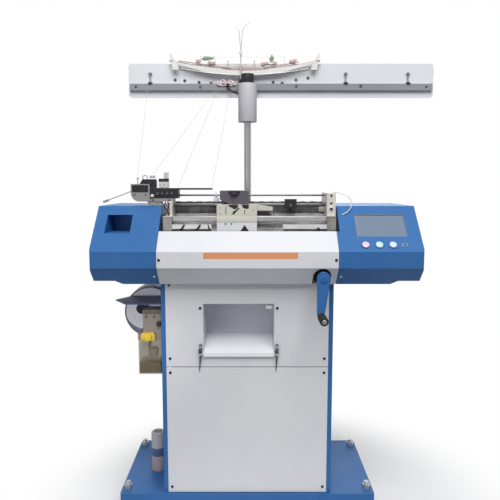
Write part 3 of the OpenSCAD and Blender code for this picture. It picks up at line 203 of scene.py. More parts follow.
def startGroup(name, outputs, **inputs):
    tree = bpy.data.node_groups.new(name, "ShaderNodeTree")
    for label, value in inputs.items():
        tree.interface.new_socket(label, in_out="INPUT", socket_type="NodeSocketFloat").default_value = value
    for label in outputs:
        tree.interface.new_socket(label, in_out="OUTPUT", socket_type="NodeSocketFloat")
    return tree, tree.nodes.new("NodeGroupInput"), tree.nodes.new("NodeGroupOutput")


def feed(tree, socket, value):
    # a number or a colour is set, an output is linked
    if isinstance(value, (int, float, tuple)):
        socket.default_value = value
    else:
        tree.links.new(value, socket)


def mathNode(tree, operation, a, b=0.5, clamp=False):
    node = add(tree, "Math", operation)
    node.use_clamp = clamp
    for socket, value in zip(node.inputs, (a, b)):
        feed(tree, socket, value)
    return node.outputs[0]


def rangeNode(tree, value, low, high, toLow=0.0, toHigh=1.0, smooth=False):
    node = add(tree, "MapRange")
    node.interpolation_type = "SMOOTHERSTEP" if smooth else "LINEAR"
    tree.links.new(value, node.inputs["Value"])
    for label, number in (("From Min", low), ("From Max", high), ("To Min", toLow), ("To Max", toHigh)):
        node.inputs[label].default_value = number
    return node.outputs["Result"]


def noiseNode(tree, vector, scale, detail=3.0, rough=0.5):
    node = add(tree, "TexNoise")
    tree.links.new(vector, node.inputs["Vector"])
    node.inputs["Detail"].default_value = detail
    node.inputs["Roughness"].default_value = rough
    feed(tree, node.inputs["Scale"], scale)
    return node.outputs["Fac"]


def objectPlace(tree):
    return add(tree, "TexCoord").outputs["Object"]


def coatGrainGroup():
    # fine orange peel of a powder coat, and slow drifts of tone
    tree, start, end = startGroup("coatGrain", ["Height", "Tone"], Scale=700.0)
    place = objectPlace(tree)
    fine = noiseNode(tree, place, start.outputs["Scale"], 2.0)
    slow = noiseNode(tree, place, 3.2, 5.0, 0.6)
    tree.links.new(fine, end.inputs["Height"])
    tree.links.new(rangeNode(tree, slow, 0.32, 0.68), end.inputs["Tone"])
    return tree


def edgeRubGroup():
    # rubbed edges, broken up so that no edge is worn all along
    tree, start, end = startGroup("edgeRub", ["Mask"], Radius=0.0025, Patch=40.0)
    place = objectPlace(tree)
    bevel = add(tree, "Bevel")
    bevel.samples = 4
    tree.links.new(start.outputs["Radius"], bevel.inputs["Radius"])
    shape = add(tree, "NewGeometry")
    dot = add(tree, "VectorMath", "DOT_PRODUCT")
    tree.links.new(bevel.outputs["Normal"], dot.inputs[0])
    tree.links.new(shape.outputs["Normal"], dot.inputs[1])
    edge = rangeNode(tree, dot.outputs["Value"], 0.98, 0.86)
    patch = rangeNode(tree, noiseNode(tree, place, start.outputs["Patch"], 4.0, 0.65), 0.52, 0.66)
    tree.links.new(mathNode(tree, "MULTIPLY", edge, patch, True), end.inputs["Mask"])
    return tree


def dustFallGroup():
    # dust on faces that look up, in soft patches
    tree, start, end = startGroup("dustFall", ["Mask"], Scale=9.0)
    place = objectPlace(tree)
    shape = add(tree, "NewGeometry")
    parts = add(tree, "SeparateXYZ")
    tree.links.new(shape.outputs["Normal"], parts.inputs[0])
    up = rangeNode(tree, parts.outputs["Z"], 0.55, 1.0)
    cloud = rangeNode(tree, noiseNode(tree, place, start.outputs["Scale"], 6.0, 0.7), 0.35, 0.75, 0.15, 1.0)
    tree.links.new(mathNode(tree, "MULTIPLY", up, cloud, True), end.inputs["Mask"])
    return tree


def drawGrainGroup():
    # long fine lines of drawn or ground metal, along X
    tree, start, end = startGroup("drawGrain", ["Height", "Tone"], Along=14.0, Across=900.0)
    place = objectPlace(tree)
    size = add(tree, "CombineXYZ")
    tree.links.new(start.outputs["Along"], size.inputs["X"])
    tree.links.new(start.outputs["Across"], size.inputs["Y"])
    tree.links.new(start.outputs["Across"], size.inputs["Z"])
    stretch = add(tree, "VectorMath", "MULTIPLY")
    tree.links.new(place, stretch.inputs[0])
    tree.links.new(size.outputs[0], stretch.inputs[1])
    lines = noiseNode(tree, stretch.outputs["Vector"], 1.0, 4.0, 0.6)
    stain = noiseNode(tree, place, 26.0, 6.0, 0.65)
    tree.links.new(lines, end.inputs["Height"])
    tone = rangeNode(tree, mathNode(tree, "MULTIPLY", lines, stain), 0.12, 0.4)
    tree.links.new(tone, end.inputs["Tone"])
    return tree


def laidThreadGroup():
    # turns of wound or twisted thread, as fine ridges
    tree, start, end = startGroup("laidThread", ["Height", "Tone"], Turns=900.0, Lean=0.4)
    place = objectPlace(tree)
    axes = add(tree, "SeparateXYZ")
    tree.links.new(place, axes.inputs[0])
    lean = mathNode(tree, "MULTIPLY", axes.outputs["X"], start.outputs["Lean"])
    turn = mathNode(tree, "MULTIPLY", mathNode(tree, "ADD", axes.outputs["Z"], lean), start.outputs["Turns"])
    ridge = rangeNode(tree, mathNode(tree, "SINE", turn), -1.0, 1.0)
    fuzz = noiseNode(tree, place, 600.0, 3.0, 0.7)
    tree.links.new(mathNode(tree, "ADD", ridge, fuzz), end.inputs["Height"])
    tree.links.new(mathNode(tree, "MULTIPLY", ridge, fuzz, True), end.inputs["Tone"])
    return tree


coatGrain = coatGrainGroup()
edgeRub = edgeRubGroup()
dustFall = dustFallGroup()
drawGrain = drawGrainGroup()
laidThread = laidThreadGroup()
print("node groups built")


# finishes
def startMaterial(name):
    mat = bpy.data.materials.new(name)
    mat.use_nodes = True
    return mat, mat.node_tree, mat.node_tree.nodes["Principled BSDF"]


def useGroup(tree, group, **values):
    node = add(tree, "Group")
    node.node_tree = group
    for label, value in values.items():
        node.inputs[label].default_value = value
    return node.outputs


def mixInk(tree, factor, first, second, share=1.0):
    node = add(tree, "Mix")
    node.data_type = "RGBA"
    tree.links.new(mathNode(tree, "MULTIPLY", factor, share, True), node.inputs["Factor"])
    feed(tree, node.inputs[6], first)
    feed(tree, node.inputs[7], second)
    return node.outputs[2]


def mixValue(tree, factor, first, second):
    node = add(tree, "Mix")
    tree.links.new(factor, node.inputs[0])
    feed(tree, node.inputs[2], first)
    feed(tree, node.inputs[3], second)
    return node.outputs[0]


def toneTo(tree, bsdf, label, tone, low, high):
    # a value of the shader that follows the tone
    tree.links.new(rangeNode(tree, tone, 0.0, 1.0, low, high), bsdf.inputs[label])


def bumpFrom(tree, bsdf, height, strength, depth):
    bump = add(tree, "Bump")
    bump.inputs["Strength"].default_value = strength
    bump.inputs["Distance"].default_value = depth
    tree.links.new(height, bump.inputs["Height"])
    tree.links.new(bump.outputs["Normal"], bsdf.inputs["Normal"])


def coat(
    name, paint, shade, rough=0.42, peel=0.25, scale=700.0, rub=0.5, rubInk=(150, 152, 156), dust=0.18,
    specular=0.3, dustInk=(168, 170, 172), wearLook=None, fallLook=None, spread=(0.05, 0.07), depth=0.0004,
):
    # powder coat with peel, drifting tone, rubbed edges and a little dust
    mat, tree, bsdf = startMaterial(name)
    grain = useGroup(tree, coatGrain, Scale=scale)
    wear = useGroup(tree, edgeRub, **(wearLook or {}))
    fall = useGroup(tree, dustFall, **(fallLook or {}))
    color = mixInk(tree, grain["Tone"], ink(*paint), ink(*shade))
    color = mixInk(tree, fall["Mask"], color, ink(*dustInk), dust)
    color = mixInk(tree, wear["Mask"], color, ink(*rubInk), rub)
    tree.links.new(color, bsdf.inputs["Base Color"])
    toneTo(tree, bsdf, "Roughness", grain["Tone"], rough - spread[0], rough + spread[1])
    bsdf.inputs["Specular IOR Level"].default_value = specular
    bumpFrom(tree, bsdf, grain["Height"], peel, depth)
    return mat


def moulded(name, paint, shade, rough=0.5, scale=1600.0, peel=0.3, rub=0.25, dust=0.12):
    # moulded plastic or rubber with a fine texture
    return coat(
        name, paint, shade, rough, peel, scale, rub, (130, 130, 132), dust, 0.25, (150, 148, 146),
        {"Radius": 0.0012, "Patch": 70.0}, {"Scale": 24.0}, (0.06, 0.08), 0.0003,
    )


def bareMetal(
    name, bright, stain, rough=0.3, along=14.0, across=900.0, line=0.12, metallic=1.0, rub=0.4, drift=0.14,
):
    # ground or drawn metal with lines and stains
    mat, tree, bsdf = startMaterial(name)
    grain = useGroup(tree, drawGrain, Along=along, Across=across)
    wear = useGroup(tree, edgeRub, Radius=0.0015)
    color = mixInk(tree, grain["Tone"], ink(*stain), ink(*bright))
    color = mixInk(tree, wear["Mask"], color, ink(226, 226, 228), rub)
    tree.links.new(color, bsdf.inputs["Base Color"])
    toneTo(tree, bsdf, "Roughness", grain["Tone"], rough + drift, rough)
    bsdf.inputs["Metallic"].default_value = metallic
    bumpFrom(tree, bsdf, grain["Height"], line, 0.0003)
    return mat


def spun(name, paint, shade, turns=2600.0, lean=0.5):
    # yarn or wound thread
    mat, tree, bsdf = startMaterial(name)
    lay = useGroup(tree, laidThread, Turns=turns, Lean=lean)
    tree.links.new(mixInk(tree, lay["Tone"], ink(*shade), ink(*paint)), bsdf.inputs["Base Color"])
    toneTo(tree, bsdf, "Roughness", lay["Tone"], 0.95, 0.8)
    bsdf.inputs["Sheen Weight"].default_value = 0.3
    bumpFrom(tree, bsdf, lay["Height"], 0.6, 0.0004)
    return mat


def lens(
    name, paint, shade, rough=0.16, skin=0.6, scale=420.0, spread=0.1, peel=0.05, depth=0.0002, opacity=None,
):
    # glossy plastic with a clear skin, which lets light through where an opacity is given
    mat, tree, bsdf = startMaterial(name)
    grain = useGroup(tree, coatGrain, Scale=scale)
    tree.links.new(mixInk(tree, grain["Tone"], ink(*paint), ink(*shade)), bsdf.inputs["Base Color"])
    toneTo(tree, bsdf, "Roughness", grain["Tone"], rough, rough + spread)
    if opacity:
        toneTo(tree, bsdf, "Alpha", grain["Tone"], *opacity)
    bsdf.inputs["Coat Weight"].default_value = skin
    bumpFrom(tree, bsdf, grain["Height"], peel, depth)
    return mat


whiteCoat = coat("whiteCoat", (224, 225, 229), (217, 219, 223), rub=0.35, rubInk=(150, 150, 152), dust=0.05)
# whiter copy of the white coat that paints the light falling on the discharge tray
litTrayCoat = coat("litTrayCoat", (246, 247, 250), (240, 242, 246), rough=0.36, rub=0.3, dust=0.04)
blueCoat = coat(
    "blueCoat", (59, 112, 172), (51, 103, 162), rough=0.4, rub=0.4, rubInk=(120, 150, 190), dust=0.04,
    specular=0.18,
)
darkBlueCoat = coat(
    "darkBlueCoat", (84, 98, 152), (74, 87, 140), rough=0.45, rub=0.4, rubInk=(130, 140, 160), dust=0.2,
)
shellGrey = coat("shellGrey", (160, 156, 155), (148, 144, 143), rough=0.48, rubInk=(200, 200, 202))
sleeveCoat = coat("sleeveCoat", (196, 194, 199), (187, 185, 190), rough=0.5, rub=0.2)
drumCoat = coat("drumCoat", (244, 244, 250), (236, 236, 244), dust=0.05)
greyCoat = coat("greyCoat", (150, 152, 156), (138, 140, 145), rough=0.45)
chuteCoat = coat("chuteCoat", (216, 218, 226), (204, 206, 215), rough=0.45, dust=0.1)
creamCoat = coat("creamCoat", (214, 212, 200), (202, 200, 188), rough=0.4, rub=0.6, rubInk=(140, 136, 128))
stripCoat = coat("stripCoat", (230, 229, 225), (221, 219, 216), rough=0.45, rub=0.3)
violetCoat = coat("violetCoat", (96, 92, 102), (82, 79, 88), rough=0.45, rub=0.6, rubInk=(160, 160, 166))
tanCoat = coat("tanCoat", (206, 186, 181), (192, 170, 165), rough=0.5, rub=0.4)
rackCoat = coat("rackCoat", (226, 227, 231), (216, 217, 222), rough=0.5, peel=0.1, rub=0.2, dust=0.1)
barCoat = coat("barCoat", (150, 150, 156), (138, 138, 144), dust=0.2)
steelBare = bareMetal("steelBare", (160, 160, 160), (102, 101, 98), rough=0.44)
steelRod = bareMetal("steelRod", (205, 205, 206), (150, 149, 148), rough=0.22, along=8.0, across=1400.0)
chromeTube = bareMetal(
    "chromeTube", (154, 152, 157), (146, 144, 149), rough=0.24, along=3.0, across=3.0, line=0.004,
    metallic=0.8, rub=0.0, drift=0.02,
)
brightSteel = bareMetal("brightSteel", (194, 194, 198), (162, 162, 166), rough=0.34, metallic=0.55)
darkSteel = bareMetal("darkSteel", (92, 92, 96), (58, 58, 62), rough=0.38)
needleSteel = bareMetal("needleSteel", (150, 150, 152), (84, 84, 86), rough=0.34)
blackMould = moulded("blackMould", (38, 38, 41), (30, 30, 33), rough=0.46)
blackRubber = moulded("blackRubber", (30, 30, 32), (24, 24, 26), rough=0.62, scale=900.0)
brushBristle = bareMetal(
    "brushBristle", (106, 106, 108), (46, 46, 48), rough=0.7, along=320.0, across=10.0, line=0.5,
    metallic=0.0, rub=0.0,
)
lidBrown = moulded("lidBrown", (112, 102, 94), (96, 87, 80))
bristleDark = moulded("bristleDark", (72, 72, 74), (54, 54, 56), rough=0.9, dust=0.0, rub=0.0)
pumpBody = moulded("pumpBody", (150, 140, 132), (132, 122, 114), rough=0.45)
screenGlass = lens("screenGlass", (112, 128, 150), (103, 119, 142), rough=0.42, skin=0.0)
stopLens = lens("stopLens", (222, 204, 214), (214, 194, 206))
startLens = lens("startLens", (196, 230, 226), (186, 221, 217))
resetLens = lens("resetLens", (206, 221, 240), (196, 212, 234))
bezelPlastic = moulded("bezelPlastic", (150, 170, 200), (138, 158, 190), rough=0.35)
yarnSpun = spun("yarnSpun", (232, 230, 226), (196, 194, 190))
threadWound = spun("threadWound", (226, 226, 228), (186, 186, 190), turns=5200.0, lean=0.05)
cableSkin = lens("cableSkin", (228, 230, 234), (214, 216, 222))
screwBlack = bareMetal("screwBlack", (62, 62, 66), (38, 38, 42), rough=0.4)
screenEdge = moulded("screenEdge", (120, 132, 150), (108, 120, 138), rough=0.4)
screenPicture = lens("screenPicture", (104, 121, 143), (96, 113, 135), rough=0.4, skin=0.0)
orangeVinyl = moulded("orangeVinyl", (232, 160, 112), (224, 148, 98), rough=0.42, peel=0.1)
pinkCeramic = lens("pinkCeramic", (230, 208, 212), (220, 194, 200))
brownWood = moulded("brownWood", (202, 182, 179), (190, 168, 165), rough=0.6, scale=500.0)
leafGreen = moulded("leafGreen", (138, 152, 134), (122, 138, 120))
# violet grey that paints the shade on the blower's rim and lower edge
rimShadeViolet = coat("rimShadeViolet", (136, 133, 150), (122, 119, 137), rough=0.45)
copperSkin = moulded("copperSkin", (178, 128, 92), (158, 108, 74), rough=0.4)
capYellow = moulded("capYellow", (226, 196, 66), (212, 180, 50), rough=0.4)
oilDark = lens("oilDark", (44, 36, 20), (36, 29, 16))
threadBlue = spun("threadBlue", (104, 124, 166), (80, 98, 140), turns=5200.0, lean=0.05)
threadPink = spun("threadPink", (204, 184, 186), (180, 158, 162), turns=5200.0, lean=0.05)
tankAmber = lens(
    "tankAmber", (134, 120, 94), (118, 104, 80), rough=0.18, skin=0.0, scale=300.0, spread=0.14, peel=0.1,
    depth=0.0003, opacity=(0.34, 0.44),
)


def zonedFinish(name, zones):
    # finishes that change with height: each zone is (from height, paint, shade, rough, metallic)
    mat, tree, bsdf = startMaterial(name)
    lines = useGroup(tree, drawGrain)
    wear = useGroup(tree, edgeRub)
    axes = add(tree, "SeparateXYZ")
    tree.links.new(objectPlace(tree), axes.inputs[0])
    paint, shade, rough, metallic = zones[0][1:]
    color = mixInk(tree, lines["Tone"], ink(*shade), ink(*paint))
    for level, paint, shade, nextRough, nextMetallic in zones[1:]:
        above = rangeNode(tree, axes.outputs["Z"], level - 0.0002, level + 0.0002)
        color = mixInk(tree, above, color, mixInk(tree, lines["Tone"], ink(*shade), ink(*paint)))
        rough = mixValue(tree, above, rough, nextRough)
        metallic = mixValue(tree, above, metallic, nextMetallic)
    color = mixInk(tree, wear["Mask"], color, ink(140, 136, 128), 0.5)
    tree.links.new(color, bsdf.inputs["Base Color"])
    tree.links.new(rough, bsdf.inputs["Roughness"])
    tree.links.new(metallic, bsdf.inputs["Metallic"])
    bumpFrom(tree, bsdf, lines["Height"], 0.15, 0.0003)
    return mat


endBlockPaint = zonedFinish("endBlockPaint", [
    (0, (146, 145, 142), (98, 97, 93), 0.34, 1.0), (1.03, (218, 217, 207), (206, 205, 195), 0.42, 0.0),
])
railSteel = zonedFinish("railSteel", [
    (0, (218, 218, 220), (190, 190, 192), 0.36, 0.4), (1.008, (168, 168, 169), (148, 147, 146), 0.34, 0.5),
    (1.045, (108, 108, 111), (90, 90, 93), 0.36, 0.6), (1.08, (126, 126, 128), (102, 102, 104), 0.3, 0.8),
])
print("finishes built")

# the CAD nodes that take each finish
finishNodes = {
    blueCoat: "base_plinth column_frame left_cover right_cover button_bodies crank_arm",
    brightSteel: "leveling_feet changer_solenoid",
    whiteCoat: "lower_front_panel upper_front_panel front_cover rear_cover carriage_skirt",
    darkSteel: "panel_screws drive_motor",
    chuteCoat: "chute_box",
    litTrayCoat: "chute_tray",
    greyCoat: "head_base shaft_brackets",
    screenGlass: "touch_screen",
    stopLens: "stop_button",
    startLens: "start_button",
    resetLens: "reset_button",
    steelBare: "front_needle_bed rear_needle_bed crank_shaft idler_pulley",
    needleSteel: "needles",
    endBlockPaint: "left_end_block right_end_block",
    railSteel: "guide_rails",
    brushBristle: "brush_strip",
    creamCoat: "cam_blocks",
    violetCoat: "carriage_bridge",
    blackMould: "selector_unit yarn_carrier changer_box bow_bracket",
    shellGrey: "changer_base",
    blackRubber: "crank_grip drive_belt",
    chromeTube: "post",
    sleeveCoat: "post_sleeve",
    rackCoat: "rack_plate",
    barCoat: "rack_bar",
    tanCoat: "bow_bar",
    stripCoat: "bow_strip",
    steelRod: "bow_wires antenna_left antenna_right",
    drumCoat: "blower_housing",
    darkBlueCoat: "blower_bracket",
    tankAmber: "oil_tank",
    pumpBody: "oil_pump",
    threadWound: "thread_spool",
    yarnSpun: "yarn_one yarn_two yarn_three yarn_four",
    cableSkin: "cable_loop",
}
# softened edges in millimetres, and the nodes whose folds and corners show
edgeNodes = {
    0.6: "chute_box rack_plate bow_strip",
    0.8: (
        "lower_front_panel upper_front_panel chute_tray guide_rails carriage_skirt changer_solenoid "
        "rack_bar blower_bracket oil_tank leveling_feet"
    ),
    1.0: "cam_blocks selector_unit yarn_carrier changer_base bow_bar bow_bracket head_base",
    1.2: "column_frame rear_cover left_end_block right_end_block thread_spool",
    1.4: "front_cover left_cover right_cover",
    1.5: "oil_pump",
    1.6: "carriage_bridge changer_box",
    2.0: "base_plinth",
    2.5: "crank_arm blower_housing",
    3.0: "post_sleeve",
}
edgeLook = {"weld": 0.00002, "angle": 38}
for finish, names in finishNodes.items():
    for name in names.split():
        nodes[name].data.materials.clear()
        nodes[name].data.materials.append(finish)
for width, names in edgeNodes.items():
    for name in names.split():
        weld = nodes[name].modifiers.new("weld", "WELD")
        weld.merge_threshold = edgeLook["weld"]
        bevel = nodes[name].modifiers.new("edge", "BEVEL")
        bevel.width = width * shop["scale"]
        bevel.segments = meshLook["steps"]
        bevel.limit_method = "ANGLE"
        bevel.angle_limit = math.radians(edgeLook["angle"])
        bevel.harden_normals = False
        bevel.use_clamp_overlap = True
print("nodes finished")

# the head's folds: a slope above its upright face, and a bevel below
headFold = {"y": -72, "slopeLow": 927, "bevelTop": 877, "lean": 45}
slopeOut = Vector((0, -1, 1)).normalized()
bevelOut = Vector((0, -1, -1)).normalized()


def slopeMatrix(x, up, out=0.0):
    # local X along the machine, Y up the slope, Z out of it
    turn = Matrix.Rotation(math.radians(headFold["lean"]), 4, "X")
    foot = Matrix.Translation((x, headFold["y"], headFold["slopeLow"]))
    return foot @ turn @ Matrix.Translation((0, up, out))


def roundRect(x0, x1, y0, y1, r, steps=6):
    corners = ((x1 - r, y1 - r, 0), (x0 + r, y1 - r, 90), (x0 + r, y0 + r, 180), (x1 - r, y0 + r, 270))
    found = []
    for x, y, start in corners:
        angles = [math.radians(start + 90 * i / steps) for i in range(steps + 1)]
        found += [(x + r * math.cos(a), y + r * math.sin(a)) for a in angles]
    return found


def frontMatrix(y):
    # local X and Y are the machine's X and Z, local Z comes out to the front
    return Matrix.Translation((0, y, 0)) @ Matrix.Rotation(math.radians(90), 4, "X")


def sideMatrix(x):
    # local X and Y are the machine's Y and Z, local Z is the machine's X
    return Matrix.Translation((x, 0, 0)) @ Matrix(((0, 0, 1, 0), (1, 0, 0, 0), (0, 1, 0, 0), (0, 0, 0, 1)))


def screwHead(bm, middle, r, h, along=toFront):
    # pan head with a round socket
    profile = [(0, 0.35), (0.4, 0.35), (0.45, 0.92), (0.7, 1.0), (0.92, 0.7), (1.0, 0.2), (1.0, 0), (0, 0)]
    lathe(bm, [(r * a, h * b) for a, b in profile], middle, 20, along)


def ringLathe(bm, middle, along, big, small, sides=28, steps=12):
    around = turns(steps) + [2 * math.pi]
    lathe(bm, [(big + small * math.cos(a), small * math.sin(a)) for a in around], middle, sides, along)


def screwRow(bm, places, r, h, along=toFront):
    for place in places:
        screwHead(bm, place, r, h, along)


def latheRow(bm, profile, places, sides, along=toFront):
    for place in places:
        lathe(bm, profile, place, sides, along)


def bored(bore, wall):
    # closes a wall's profile round a bore
    low, high = wall[0][1], wall[-1][1]
    return [(bore, low), *wall, (bore, high), (bore, low)]


def frameLoop(bm, outer, inner, depth, matrix, edge):
    # flat ring between two outlines of the same count
    part = bmesh.new()
    rows = []
    for outline, z in ((outer, 0), (outer, depth), (inner, depth), (inner, 0)):
        rows.append([part.verts.new((x, y, z)) for x, y in outline])
    for first, second in zip(rows, rows[1:] + rows[:1]):
        bridge(part, first, second)
    pour(bm, part, matrix, edge)


def wire(bm, points, radius, steps=6):
    # soft wire that rounds a short list of points
    pts = [Vector(q) for q in points]
    found = []
    for i in range(len(pts) - 1):
        a, b, c, d = pts[max(i - 1, 0)], pts[i], pts[i + 1], pts[min(i + 2, len(pts) - 1)]
        for k in range(steps):
            t = k / steps
            found.append(b + 0.5 * t * (c - a + t * (2 * a - 5 * b + 4 * c - d + t * (3 * (b - c) + d - a))))
    sweep(bm, found + [pts[-1]], radius, 8)


# screws of the panels, covers and end block
screwSize = {"large": (4.6, 2.4), "small": (3.4, 2.4), "eye": (4.4, 2.0)}
panelPlaces = [(x, 8, z) for x in (-248, 248) for z in (811, 572, 525, 136)] + [(-150, 8, 737), (96, 8, 737)]
build("panelScrews", screwBlack, {
    "panels": (screwRow, panelPlaces, *screwSize["large"]),
    "covers": (screwRow, [(-266, -72, 902), (269, -72, 902)], *screwSize["large"]),
    "block": (screwRow, [(264, 20, 1094), (264, 20, 1070)], *screwSize["small"]),
}, stands=("panel_screws",))
build("bevelScrews", brightSteel, {
    "bevel": (screwRow, [(-285, -42.3, 847.3), (288, -42.3, 847.3)], *screwSize["large"], bevelOut),
})
build("blockWasher", brightSteel, {
    "washer": (lathe, [(0, 0), (8.6, 0), (8.6, 0.8), (8, 1.2), (0, 1.2)], (264, 20, 1052), 32),
})
build("blockEye", screwBlack, {"eye": (screwRow, [(264, 18.8, 1052)], *screwSize["eye"])})
print("screws set")

# push buttons with domed lenses, and the port beside them
buttonSet = {
    "up": 27, "r": 11.4, "portX": 478,
    "caps": (("stop", 360, stopLens), ("start", 401.5, startLens), ("reset", 443, resetLens)),
}
r = buttonSet["r"]
dome = [(0, 5.0), (r * 0.5, 4.9), (r * 0.78, 4.5), (r * 0.93, 3.7), (r, 2.6), (r, -4.7), (0, -4.7)]
for name, x, finish in buttonSet["caps"]:
    build(name + "Lens", finish, {
        "dome": (lathe, dome, slopeMatrix(x, buttonSet["up"]).translation, 40, slopeOut),
    }, name + "_cap", (name + "_button",))
port = slopeMatrix(buttonSet["portX"], buttonSet["up"])
build("portFrame", bezelPlastic, {"frame": (slab, roundRect(-8.5, 8.5, -5, 5, 2.5), 1.2, port, 0.3)})
build("portMouth", blackMould, {"mouth": (slab, roundRect(-6, 6, -2.6, 2.6, 1.0), 1.35, port, 0.1)})

# frame and picture field of the touch screen
screenSet = {"x": 416, "up": 61, "w": 157, "h": 92}


def screenRect(inX, inY, r):
    # rounded outline set in from the screen's edges
    x = screenSet["w"] / 2 - inX
    return roundRect(-x, x, inY, screenSet["h"] - inY, r)


place = screenSet["x"], screenSet["up"]
framePlane, fieldPlane = slopeMatrix(*place, -2.9), slopeMatrix(*place, -2.95)
build("screenFrame", screenEdge, {
    "frame": (frameLoop, screenRect(0.2, 0.2, 2.0), screenRect(3.2, 3.2, 2.0), 2.6, framePlane, 0.5),
})
build("screenField", screenPicture, {"field": (slab, screenRect(10, 9, 1.0), 0.3, fieldPlane)})
print("panel of the right cover dressed")

# plain orange strip on the front cover's upright face
build("orangeStrip", orangeVinyl, {
    "strip": (slab, roundRect(-132, 154, 906, 925, 1.5), 0.3, frontMatrix(headFold["y"])),
})

# rubber edge round the arch in the front cover's bevel, and a black ring behind it that paints the shade
# inside the arch
archSet = {"x": 230, "z": 848, "r": 26, "low": 820.5, "lift": 1.4}


def onBevel(x, z):
    return (x, headFold["y"] + (headFold["bevelTop"] - z) + archSet["lift"], z + archSet["lift"])


steps = [(p.x, p.z) for p in arc((archSet["x"], 0, archSet["z"]), archSet["r"], 0, 180, 20)]
steps = [(steps[0][0], archSet["low"]), *steps, (steps[-1][0], archSet["low"])]
build("archBead", blackRubber, {"bead": (sweep, [onBevel(x, z) for x, z in steps], 2.4)})
# black ring behind the arch opening, round the crank's shaft: painted shade inside the arch
build("archShadeRing", blackRubber, {
    "ring": (lathe, bored(11.2, [(26.4, 0), (26.4, 1.6)]), (archSet["x"], -12, archSet["z"]), 48),
})
print("front cover dressed")

# crank: hub cap, ferrule, ribbed grip and its end screw
crankSet = {"hub": (230, -92, 848), "root": (222.19, -93, 736.27), "bore": 5.4, "ribs": range(24, 57, 8)}
rib = [(12.2, 0), (12.9, 1.5), (12.9, 4.5), (12.2, 6)]
ribs = [(r, start + h) for start in crankSet["ribs"] for r, h in rib]
gripEnd = [(12.6, 66), (13, 70), (13, 76), (12, 80), (10.5, 81.8), (7.5, 82), (7.5, 79)]
grip = bored(crankSet["bore"], [(10.4, 9.2), (11.6, 11), (11.8, 22)] + ribs + gripEnd)
ferrule = bored(crankSet["bore"], [(10.2, 0), (11, 0.8), (11, 7.5), (10, 9)])
endScrew = [(0, 81.5), (2.4, 81.5), (2.8, 83.2), (5.4, 83.2), (6.8, 82), (6.8, 79.2), (0, 79.2)]
hubCap = [(0, 1.4), (2.6, 1.4), (3, 3), (10.5, 3), (12.4, 2.2), (12.8, 0), (0, 0)]
root = crankSet["root"]
build("hubCap", blueCoat, {"cap": (lathe, hubCap, crankSet["hub"], 36)}, "crank")
build("gripFerrule", steelBare, {"ferrule": (lathe, ferrule, root, 36)}, "grip")
build("gripBody", blackRubber, {"grip": (lathe, grip, root, 40)}, "grip", ("crank_grip",))
build("gripScrew", steelBare, {"screw": (lathe, endScrew, root, 28)}, "grip")
print("crank dressed")

# discharge: spring hinges of the tray and the latch under the upper edge
traySet = {
    "hinges": ((-149, -5), (95, -3)), "w": 9.2, "screw": (-8.6, 607), "foot": (-4, 588), "tip": (4, 528),
    "side": [(8, 587), (-5, 587), (-8.6, 592), (-8.6, 611), (-4, 620), (8, 620)],
    "hook": [(0, 0), (3.4, 0), (2.9, 14), (1.6, 40)], "coil": (-5.4, -1, 598), "coilR": 5.2,
}


def springHinge(bm, x, lean):
    slab(bm, traySet["side"], traySet["w"], sideMatrix(x - traySet["w"] / 2), 0.8)
    screwHead(bm, (x, *traySet["screw"]), 3.2, 2.0)
    foot, tip = Vector((x, *traySet["foot"])), Vector((x + lean, *traySet["tip"]))
    long = (tip - foot).length
    lathe(bm, traySet["hook"] + [(0.7, long - 1), (0, long)], foot, 14, tip - foot)
    coilX, coilY, coilZ = traySet["coil"]
    sweep(bm, arc((x + coilX, coilY, coilZ), traySet["coilR"], 0, 1080, 72, "yz"), 0.9, 6)


build("traySprings", darkSteel, {x: (springHinge, x, lean) for x, lean in traySet["hinges"]})
build("chuteLatch", whiteCoat, {"latch": (slab, roundRect(60, 80, 733, 746, 4), 9, frontMatrix(24), 1.6)})
print("discharge dressed")

# front of the needle beds: clips and a knob on the lower bars, and loose wires in the left gap
clipSet = {
    "clips": ((-203, 1), (-153, 1), (-119, -0.6)), "y": 10, "t": 0.8, "knobAt": (223, 10, 989),
    "hook": [(-9, 985), (-3, 985), (2, 989), (9, 1001), (8, 1003.5), (3, 1003.5), (-4, 992), (-9, 990)],
}


def barClip(bm, x, lean):
    slab(bm, [(x + lean * a, b) for a, b in clipSet["hook"]], clipSet["t"], frontMatrix(clipSet["y"]), 0.2)


build("barClips", blackMould, {
    **{x: (barClip, x, lean) for x, lean in clipSet["clips"]},
    "knob": (lathe, [(0, 5), (3.6, 5), (5, 4), (5.4, 1), (4.2, 0), (0, 0)], clipSet["knobAt"], 24),
})
build("blackWires", blackRubber, {
    "outer": (wire, [(-262, 64, 1072), (-266, 58, 1058), (-258, 48, 1046), (-262, 40, 1031.6)], 1.9),
    "inner": (wire, [(-256, 66, 1074), (-251, 60, 1060), (-254, 46, 1048), (-250, 36, 1031.8)], 1.9),
})
build("copperWires", copperSkin, {
    "inner": (wire, [(-250, 62, 1070), (-247, 52, 1056), (-250, 44, 1044), (-247, 40, 1032)], 1.3),
    "outer": (wire, [(-259, 60, 1066), (-254, 48, 1050), (-257, 36, 1040), (-256, 30, 1031.4)], 1.3),
})

